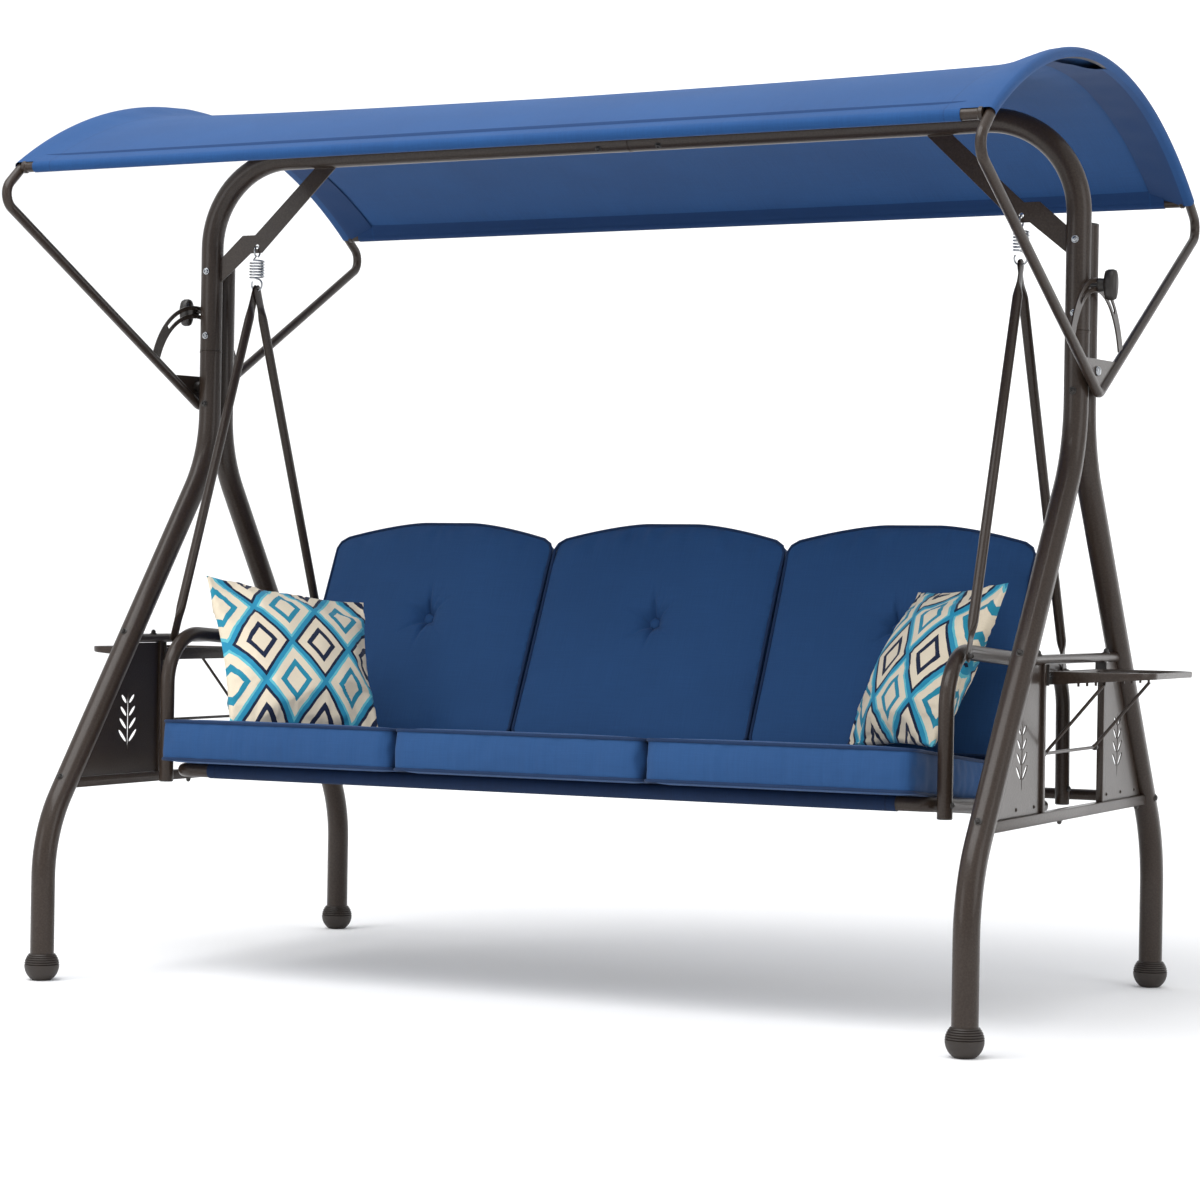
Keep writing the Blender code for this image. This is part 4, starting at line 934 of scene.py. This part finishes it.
for k in range(5):
    heading = front_heading - hem_turn * (1 / 3 + k / 6)
    under = CLOTH_R - 0.0016 - 0.0155 * (1 - k / 4) ** 1.4
    profile.append((*(arch_centre + unit(heading) * under), None))

half_columns = [SLEEVE_X + 0.0115 * k for k in range(6)] + [("wrap", -70 + 160 * k / 14) for k in range(15)]
inner_x = [0.9665, 0.955, 0.942, HEM_X, 0.917, 0.902, 0.885, 0.865, 0.84, 0.81, 0.775, 0.735]
inner_x += [0.69 - 0.046 * k for k in range(15)]
columns = [(-1, c) for c in half_columns] + [(-1, x) for x in inner_x]
columns += [(1, x) for x in reversed(inner_x)] + [(1, c) for c in reversed(half_columns)]
first_top = len(half_columns)
rows, flats, gaps, travelled = [], [], set(), 0.0
for i, (y, z, share) in enumerate(profile):
    if i:
        travelled += math.dist((y, z), profile[i - 1][:2])
    radial = (Vector((y, z)) - arch_centre).normalized()
    row, flat_row, strip = [], [], 0.0
    for j, (sign, column) in enumerate(columns):
        edge = min(j, len(columns) - 1 - j)
        open_share = 0.0
        if share is not None and sign > 0:
            open_share = math.sqrt(max(0.0, 1 - ((share - 0.665) / 0.18) ** 2))
        if isinstance(column, tuple):
            angle = math.radians(column[1] + (90 - column[1]) * open_share * 0.16)
            x, drop = FAN_X + 0.0108 * math.cos(angle), 0.0108 * (1 - math.sin(angle))
        elif edge < 6:
            start = SLEEVE_X + (column - SLEEVE_X) * (1 - 0.50 * open_share)
            x, part = start, (start - SLEEVE_X) / 0.0575
            drop = (0.0030 + sag(SLEEVE_X, share or 0.0)) * (1 - part) + 0.0205 * part
            drop += 0.002 * math.sin(math.pi * part) * noise.noise(Vector((sign * 3.0, (share or 0) * 22.0, 1.0)))
        else:
            x, drop = column, sag(column, share or 0.0) if share is not None else 0.0
            if share is not None:
                pull = math.exp(-(((FAN_X - column) / 0.20) ** 2)) * math.sin(math.pi * share)
                drop += 0.0018 * pull * noise.noise(Vector((column * 9.0 * sign, share * 26.0, 2.0)))
        place = Vector((y, z)) - radial * drop
        point = Vector((sign * x, place.x, place.y))
        strip += (point - row[-1]).length if row and share is not None else 0.0
        row.append(point)
        flat_row.append((strip, travelled))
        if j and i:
            in_hem = profile[i - 1][2] is None or share is None
            outer = edge < first_top or abs(x) > HEM_X + 0.001 or min(j - 1, len(columns) - j) < first_top
            if in_hem and outer:
                gaps.add((i - 1, j - 1))
            if open_share > 0.05 and j == len(columns) - 6:
                gaps.add((i - 1, j - 1))
    rows.append(row)
    flats.append(flat_row)
centre_row = flats[len(flats) // 2]
cloth_width, cloth_length = centre_row[-1][0], travelled
for flat_row in flats:
    for j in range(len(columns)):
        flat_row[j] = (centre_row[j][0], flat_row[j][1])
seams = [("Y", 0.0335), ("Y", travelled - 0.0335)]
sewn_in = centre_row[first_top + 5][0]
seams += [("X", sewn_in), ("X", cloth_width - sewn_in)]
# Bands of painted shade over the sleeves and the hems, where the doubled cloth lies in shade.
painted_shade_bands = [("X", -0.01, 0.064), ("X", cloth_width - 0.064, cloth_width + 0.01)]
painted_shade_bands += [("Y", -0.01, 0.072), ("Y", travelled - 0.048, travelled + 0.01)]
canopy_cloth = woven("canopy_polyester_weave", "#174a80", "#103a6a", 0.0011, seams, 0.05, 0.75, painted_shade_bands)
roof = sheet_mesh("canopy_roof_sheet", rows, flats, canopy_cloth, gaps)
settle(roof, "canopy", "canopy", "canopy_fabric", smooth=60)


# ---- Bench sling ----------------------------------------------------------------------------
# One strip of coated polyester mesh is sewn round the seat's front tube and the back's top tube. It
# carries all six cushions.
CUSHION_HALF, CUSHION_PITCH, SEAT_TILT, BACK_RECLINE = 0.2595, 0.5235, 5.4, 25.75
SLING_WIDTH, SLING_LEFT = 1.440, 0.712
loose, up = 0.0013, 90 - BACK_RECLINE
path = [Vector((p[0], p[1], 0)) for p in arc(SEAT_FRONT, SEAT_R + loose, 318, 96, 16)]
corner = bent_route([path[-1], (0.1107, 0.3735, 0), (BACK_TOP[0] - 0.013, BACK_TOP[1] + 0.0062, 0)], 0.03)
seat_run = [path[-1].lerp(corner[1], k / 14) for k in range(1, 14)]
back_run = [corner[-2].lerp(corner[-1], k / 14) for k in range(1, 14)]
path += seat_run + corner[1:-1] + back_run
path += [Vector((p[0], p[1], 0)) for p in arc(BACK_TOP, BACK_R + loose, up + 90, -30, 16)]
rows, flats, travelled = [], [], 0.0
for i, point in enumerate(path):
    travelled += (point - path[i - 1]).length if i else 0.0
    give = 0.004 * math.sin(math.pi * max(0.0, min(1.0, (point.x + 0.32) / 0.42))) if point.y < 0.42 else 0.0
    row, flat_row = [], []
    for k in range(49):
        x = -SLING_LEFT + SLING_WIDTH * k / 48
        dip = give * (1 - (2 * k / 48 - 1) ** 4)
        row.append((x, point.x, point.y - dip))
        flat_row.append((x + SLING_LEFT, travelled))
    rows.append(row)
    flats.append(flat_row)
sling_cloth = woven("bench_sling_mesh", "#08264a", "#041833", 0.0014, [("X", 0.018), ("X", 1.422)], 0.0, 0.8)
sling = sheet_mesh("bench_sling", rows, flats, sling_cloth)
settle(sling, "bench", "sling", "seat_sling", smooth=60)


# ---- Cushions -------------------------------------------------------------------------------
# Six foam cushions in woven polyester: a panel on each face, a strip of boxing between them and
# piping in both seams. Each back cushion has a covered button that pulls its face in.
SEAT_DEPTH, SEAT_THICK, BACK_HEIGHT, BACK_THICK, BUTTON_V, PIPING_R = 0.510, 0.068, 0.483, 0.070, 0.268, 0.0032
cushion_cloth = woven("cushion_slub_weave", "#224b7b", "#1a3f6b", 0.0009, (), 0.06, 0.7)
piping_cloth = woven("cushion_piping_weave", "#123055", "#0b2242", 0.0009, (), 0.06, 0.7)


def hump(u):
    """Share of its height that a back cushion keeps at a distance from its middle."""
    return 1 - 0.086 * max(0.0, (abs(u) - 0.055) / 0.205) ** 1.5


def grid_edge(steps):
    """Indices round the edge of a square grid, in turn."""
    around = [(i, 0) for i in range(steps)] + [(steps, j) for j in range(steps)]
    return around + [(i, steps) for i in range(steps, 0, -1)] + [(0, j) for j in range(steps, 0, -1)]


def out_of(seam, k):
    """The direction out of a closed seam at its point k."""
    ahead = seam[(k + 1) % len(seam)] - seam[k - 1]
    return Vector((ahead.y, -ahead.x, 0)).normalized()


def cushion_outline(a, b, depth, camel, corner=0.022):
    """A point of the panel from unit coordinates: rounded corners, pulled-in sides, humped top."""
    half = CUSHION_HALF - 0.0022
    u, v = a * half, (b - 0.5) * depth
    over_u, over_v = abs(u) - (half - corner), abs(v) - (depth / 2 - corner)
    if over_u > 0 and over_v > 0:
        reach = max(over_u, over_v) / math.hypot(over_u, over_v)
        u = math.copysign(half - corner + over_u * reach, u)
        v = math.copysign(depth / 2 - corner + over_v * reach, v)
    u *= 1 - 0.006 * math.sin(math.pi * b)
    v = v + depth / 2
    return u, v * hump(u) if camel else v


def gather(value, focus, above, below):
    """Draws grid lines towards a focus, so that the button's folds have enough faces."""
    reach = above if value > focus else below
    share = (value - focus) / reach
    return focus + reach * share * (1 - 0.45 * (1 - share * share))


def plump(piece, held, pressure, cap, spare, frames=16):
    """Inflates a sewn cover a little by cloth simulation, with its seams held and its motion capped."""
    before = [vert.co.copy() for vert in piece.data.vertices]
    piece.vertex_groups.new(name="sewn").add(held, 1.0, "REPLACE")
    cover = piece.modifiers.new("filled cover", "CLOTH")
    cover.settings.quality = 4
    cover.settings.mass = 0.15
    cover.settings.tension_stiffness = cover.settings.compression_stiffness = 12.0
    cover.settings.bending_stiffness = 0.08
    cover.settings.use_pressure = True
    cover.settings.uniform_pressure_force = pressure
    cover.settings.shrink_min = -spare
    cover.settings.vertex_group_mass = "sewn"
    cover.settings.effector_weights.gravity = 0.0
    cover.point_cache.frame_start, cover.point_cache.frame_end = 1, frames
    for frame_number in range(1, frames + 1):
        bpy.context.scene.frame_set(frame_number)
    bpy.ops.object.modifier_apply(modifier=cover.name)
    piece.vertex_groups.clear()
    for vert, start in zip(piece.data.vertices, before):
        moved = vert.co - start
        if moved.length > cap:
            vert.co = start + moved.normalized() * cap
    bpy.context.scene.frame_set(1)


# The button's folds: the way each one runs, in degrees, and its share of the full depth.
FOLDS = ((88, 1.0), (-97, 0.9), (38, 0.55), (152, 0.5), (-42, 0.5), (-140, 0.6), (62, 0.4))


def cushion(name, depth, thick, place, camel, seed, node_name):
    """A boxed cushion: crowned panels, boxing and two piped seams. Local Z is its thickness."""
    steps = 44
    edge_z = thick / 2 + (-0.0030 if camel else 0.0030)
    crowns = {1: 0.0072 if camel else 0.0045, -1: 0.0}
    shape = bmesh.new()
    layer = shape.loops.layers.uv.new("flat")
    grids = []
    for face in (1, -1):
        grid = []
        for i in range(steps + 1):
            line = []
            for j in range(steps + 1):
                a, b = 2 * i / steps - 1, j / steps
                if camel:
                    a, b = gather(a, 0.0, 1.0, 1.0), gather(b, 0.555, 0.445, 0.555)
                u, v = cushion_outline(a, b, depth, camel)
                crown = ((1 - abs(a) ** 3.2) * (1 - abs(2 * b - 1) ** 3.2)) ** 0.62
                uneven = 0.0016 * noise.noise(Vector((u * 6 + seed, v * 6, face * 5.0)))
                rise = (crowns[face] + uneven * (face > 0)) * crown
                line.append(shape.verts.new((u, v, face * (edge_z + rise))))
            grid.append(line)
        grids.append(grid)
        for i in range(steps):
            for j in range(steps):
                made = shape.faces.new((grid[i][j], grid[i + 1][j], grid[i + 1][j + 1], grid[i][j + 1]))
                for loop in made.loops:
                    loop[layer].uv = (loop.vert.co.x + 1.0, loop.vert.co.y + 1.0)
    around = grid_edge(steps)
    seams_at = [[grid[i][j].co.copy() for i, j in around] for grid in grids]
    rings = [[grids[0][i][j] for i, j in around]]
    for level in (0.66, 0.33, 0.0, -0.33, -0.66):
        ring = []
        for k, (i, j) in enumerate(around):
            spot = grids[0][i][j].co
            outward = out_of(seams_at[0], k)
            ripple = 0.0011 * noise.noise(Vector((spot.x * 34 + seed, spot.y * 34, 2.0)))
            swell = (0.0022 + ripple) * (1 - level ** 2)
            ring.append(shape.verts.new((spot.x + outward.x * swell, spot.y + outward.y * swell, edge_z * level)))
        rings.append(ring)
    rings.append([grids[1][i][j] for i, j in around])
    count, girth = len(around), 0.0
    for k in range(count):
        step = (seams_at[0][(k + 1) % count] - seams_at[0][k]).length
        for level in range(len(rings) - 1):
            upper, lower, after = rings[level], rings[level + 1], (k + 1) % count
            made = shape.faces.new((upper[k], upper[after], lower[after], lower[k]))
            spans = ((girth, level), (girth + step, level), (girth + step, level + 1), (girth, level + 1))
            for loop, (along, down) in zip(made.loops, spans):
                loop[layer].uv = (along + 3.0, 3.0 - down * edge_z / 3)
        girth += step
    bmesh.ops.recalc_face_normals(shape, faces=shape.faces)
    sharp = shape.edges.layers.float.new("crease_edge")
    for ring in (rings[0], rings[-1]):
        for k in range(count):
            shape.edges.get((ring[k], ring[(k + 1) % count]))[sharp] = 1.0
    shape.verts.index_update()
    held = [grid[i][j].index for grid in grids for i, j in around]
    if camel:
        held += [v.index for line in grids[0] for v in line if math.hypot(v.co.x, v.co.y - BUTTON_V) < 0.011]
    made = from_shape(name, shape, cushion_cloth)
    plump(made, held, 1.6, 0.0045, 0.018)
    finer = made.modifiers.new("finer panels", "SUBSURF")
    finer.levels = finer.render_levels = 1
    bpy.ops.object.modifier_apply(modifier=finer.name)
    for vert in made.data.vertices:
        spot = vert.co
        if camel and spot.z > 0:
            away = Vector((spot.x, spot.y - BUTTON_V))
            reach, turn = away.length, math.atan2(away.y, away.x)
            fold = 0.0
            for lean, weight in FOLDS:
                apart = (turn - math.radians(lean + 5 * seed) + math.pi) % math.tau - math.pi
                fold += weight * math.exp(-((apart * max(reach, 0.010) / 0.0038) ** 2))
            spot.z -= 0.016 * math.exp(-((reach / 0.017) ** 2)) + 0.011 * math.exp(-((reach / 0.042) ** 2))
            spot.z -= 0.0080 * fold * math.exp(-(((reach - 0.020) / 0.036) ** 2))
            hem = depth * hump(spot.x) - spot.y
            pleat = noise.noise(Vector((spot.x * 48 + seed * 3.1, 0.5, spot.y * 3.0)))
            strength = 0.0022 if seed == 0 else 0.0060
            fade = min(1.0, max(0.0, hem - 0.003) / 0.010)
            spot.z += strength * pleat * math.exp(-((hem - 0.022) / 0.022) ** 2) * fade
        elif not camel and spot.y < 0.012 and abs(spot.z) < edge_z * 0.95:
            crease = noise.noise(Vector((spot.x * 52 + 9 * seed, 0.3, spot.z * 3)))
            spot.y += (0.0006, 0.0008, 0.0016)[int(seed) % 3] * crease
    made.data.transform(place)
    settle(made, "bench", "textile", node_name, smooth=60)
    for label, seam in zip(("upper", "lower"), seams_at):
        cord = []
        for k, spot in enumerate(seam):
            cord.append(place @ (spot + out_of(seam, k) * 0.0004))
        piece = tube(f"{name}_piping_{label}", cord, PIPING_R, piping_cloth, closed=True, resolution=3)
        uv_flat(piece)
        settle(piece, "bench", "textile")
    if camel:
        dome = [(0.0, 0.0), (0.0105, 0.0), (0.0122, 0.0014), (0.0122, 0.0032)]
        dome += [(0.0100, 0.0056), (0.0055, 0.0070), (0.0, 0.0074)]
        at = place @ Vector((0, BUTTON_V, thick / 2 - 0.0220))
        button = turned(f"{name}_button", dome, at, place.to_3x3() @ Vector((0, 0, 1)), cushion_cloth, 28)
        uv_flat(button)
        settle(button, "bench", "textile", smooth=60)


def uv_flat(piece):
    """Gives a small trim piece the cloth's UV layer, from its own X and Z."""
    layer = piece.data.uv_layers.get("flat") or piece.data.uv_layers.new(name="flat")
    for loop in piece.data.loops:
        spot = piece.matrix_world @ piece.data.vertices[loop.vertex_index].co
        layer.data[loop.index].uv = (spot.x + spot.y, spot.z + spot.y * 0.5)


for k, label in enumerate(("left", "middle", "right")):
    x = (k - 1) * CUSHION_PITCH
    seat_place = Matrix.Translation((x, -0.400, 0.4312)) @ Matrix.Rotation(math.radians(-SEAT_TILT), 4, "X")
    seat_place = seat_place @ Matrix.Translation((0, -0.006, 0.034))
    cushion(f"seat_pad_{label}", SEAT_DEPTH, SEAT_THICK, seat_place, False, k, f"seat_cushion_{label}")
    back_place = Matrix.Translation((x, 0.0755, 0.4725)) @ Matrix.Rotation(math.radians(90 - BACK_RECLINE), 4, "X")
    back_place = back_place @ Matrix.Translation((0, 0.001, -0.035))
    cushion(f"back_pad_{label}", BACK_HEIGHT, BACK_THICK, back_place, True, k, f"back_cushion_{label}")


# ---- Throw pillows --------------------------------------------------------------------------
# Two loose square pillows of cotton canvas with knife edges, printed with rows of nested diamonds
# in cream, navy and teal.
DIAMOND_WIDTH, DIAMOND_HEIGHT, PRINT_SCALE = 0.140, 0.190, 1.08


def diamond_print():
    """A printed canvas: diamonds of two colourings in turn, outlined by a teal lattice."""
    made, tree = start_material("printed_cotton_canvas")
    cloth_uv = node(tree, "UVMap", {}, uv_map="flat")
    wobble = node(tree, "TexNoise", {"Vector": cloth_uv, "Scale": 60.0, "Detail": 2.0})
    shift = node(tree, "Math", {0: wobble, 1: 0.02, 2: -0.01}, operation="MULTIPLY_ADD")
    split = node(tree, "SeparateXYZ", {0: cloth_uv})
    across = node(tree, "Math", {0: split.outputs["X"], 1: DIAMOND_WIDTH}, operation="DIVIDE")
    upward = node(tree, "Math", {0: split.outputs["Y"], 1: DIAMOND_HEIGHT}, operation="DIVIDE")
    edges, cells = [], []
    for kind in ("ADD", "SUBTRACT"):
        slanted = node(tree, "Math", {0: across, 1: upward}, operation=kind)
        moved = node(tree, "Math", {0: slanted, 1: shift}, operation="ADD")
        edges.append(node(tree, "Math", {0: moved, 1: 0.5}, operation="PINGPONG"))
        cells.append(node(tree, "Math", {0: moved, 1: 0.0}, operation="FLOOR"))
    depth = node(tree, "Math", {0: edges[0], 1: edges[1]}, operation="MINIMUM")
    count = node(tree, "Math", {0: cells[0], 1: cells[1]}, operation="ADD")
    turn = node(tree, "Math", {0: count, 1: 1.0}, operation="PINGPONG")
    double = node(tree, "Math", {0: depth, 1: 2.0}, operation="MULTIPLY")
    bands = (
        ((0.0, "#2787a9"), (0.085, "#141f3a"), (0.195, "#dccfb8"), (0.49, "#141f3a"), (0.67, "#dccfb8")),
        ((0.0, "#2787a9"), (0.085, "#5fb4c2"), (0.175, "#dccfb8"), (0.47, "#23839d"), (0.67, "#dccfb8")),
    )
    inks = []
    for band in bands:
        ramp = node(tree, "ValToRGB", {0: double})
        ramp.color_ramp.interpolation = "CONSTANT"
        ramp.color_ramp.elements[0].color = srgb(band[0][1])
        ramp.color_ramp.elements[1].position = band[1][0]
        ramp.color_ramp.elements[1].color = srgb(band[1][1])
        for position, ink in band[2:]:
            ramp.color_ramp.elements.new(position).color = srgb(ink)
        inks.append(ramp)
    printed = node(tree, "Mix", {0: turn, 6: inks[0], 7: inks[1]}, data_type="RGBA")
    grain_map = node(tree, "Mapping", {"Vector": cloth_uv, "Scale": (900.0, 260.0, 1.0)})
    grain = node(tree, "TexNoise", {"Vector": grain_map, "Scale": 1.0, "Detail": 2.0})
    fade = node(tree, "MapRange", {"Value": grain, "To Min": 0.90, "To Max": 1.06})
    worn = node(tree, "Mix", {0: 1.0, 6: printed, 7: fade}, data_type="RGBA", blend_type="MULTIPLY")
    weave = node(tree, "TexWave", {"Vector": cloth_uv, "Scale": 262.0}, bands_direction="DIAGONAL")
    relief = node(tree, "Bump", {"Height": weave, "Strength": 0.3, "Distance": 0.0002})
    shader = node(tree, "BsdfPrincipled", {
        "Base Color": worn, "Roughness": 0.9, "Sheen Weight": 0.1, "Specular IOR Level": 0.25, "Normal": relief,
    })
    node(tree, "OutputMaterial", {"Surface": shader})
    return made


canvas_print = diamond_print()


def pillow(side, middle, turn_deg, lean_deg, roll_deg, offset, seed, pulled):
    """A knife-edged square pillow: two crowned panels sewn round the edge, puckered at the seam."""
    size, thick, steps = 0.330, 0.104, 72
    shape = bmesh.new()
    layer = shape.loops.layers.uv.new("flat")
    grids = []
    for face in (1, -1):
        grid = []
        for i in range(steps + 1):
            line = []
            for j in range(steps + 1):
                a, b = 2 * i / steps - 1, 2 * j / steps - 1
                if face < 0 and (i in (0, steps) or j in (0, steps)):
                    line.append(grids[0][i][j])
                    continue
                waist = 1 - 0.060 * (1 - min(abs(a), abs(b)) ** 2)
                full = (max(0.0, 1 - abs(a) ** 2.3) * max(0.0, 1 - abs(b) ** 2.3)) ** 0.58
                edge = (1 - max(abs(a), abs(b))) * size / 2
                run = (b if abs(a) > abs(b) else a) * size
                pucker = noise.noise(Vector((run * 46 + seed, 0.7 + face, seed)))
                pucker *= math.exp(-((edge - 0.012) / 0.016) ** 2)
                corner = (abs(a) * abs(b)) ** 3
                crease = 0.004 * noise.noise(Vector((a * 2.6 + seed, b * 2.6, 3.0 + face)))
                slump = 1 + 0.10 * -b
                folds = (crease + 0.0030 * pucker) * (1 - corner) * min(1.0, edge / 0.008)
                z = face * (0.0010 + thick / 2 * full * slump + folds)
                z += 0.006 * noise.noise(Vector((a * 1.4 + seed, b * 1.4, 8.0))) * max(abs(a), abs(b)) ** 4
                shift = Vector((0.0, 0.0))
                for (side_a, side_b), pull in zip(((-1, 1), (1, 1), (1, -1), (-1, -1)), pulled):
                    shift += Vector(pull) * (1 + side_a * a) * (1 + side_b * b) / 4
                line.append(shape.verts.new((a * size / 2 * waist + shift.x, b * size / 2 * waist + shift.y, z)))
            grid.append(line)
        grids.append(grid)
        for i in range(steps):
            for j in range(steps):
                quad = (grid[i][j], grid[i + 1][j], grid[i + 1][j + 1], grid[i][j + 1])
                made = shape.faces.new(quad)
                spans = ((i, j), (i + 1, j), (i + 1, j + 1), (i, j + 1))
                for loop, (p, q) in zip(made.loops, spans):
                    reach = (p / steps * size * PRINT_SCALE, q / steps * size * PRINT_SCALE)
                    loop[layer].uv = (reach[0] + offset[0], reach[1] + offset[1])
    bmesh.ops.recalc_face_normals(shape, faces=shape.faces)
    stand = Matrix.Rotation(math.pi / 2 - math.radians(lean_deg), 4, "X")
    place = Matrix.Translation(middle) @ Matrix.Rotation(math.radians(turn_deg), 4, "Z") @ stand
    place = place @ Matrix.Rotation(math.radians(roll_deg), 4, "Z")
    shape.transform(place)
    shape.verts.index_update()
    held = [grids[0][i][j].index for i, j in grid_edge(steps)]
    made = from_shape(f"diamond_pillow_{side}", shape, canvas_print)
    plump(made, held, 1.2, 0.006, 0.03)
    settle(made, "bench", "pillow", f"throw_pillow_{side}", smooth=75)


pillow(
    "left", (-0.6145, -0.179, 0.632), 57.0, 33.0, -6.6, (0.134, 0.194), 1.0,
    ((-0.005, 0.002), (0.004, -0.020), (-0.002, -0.007), (0.006, -0.022)),
)
pillow(
    "right", (0.648, 0.015, 0.636), -41.0, 28.0, 3.8, (0.0735, 0.204), 6.0,
    ((0.020, 0.004), (0.010, 0.006), (-0.004, -0.004), (0.0, -0.008)),
)
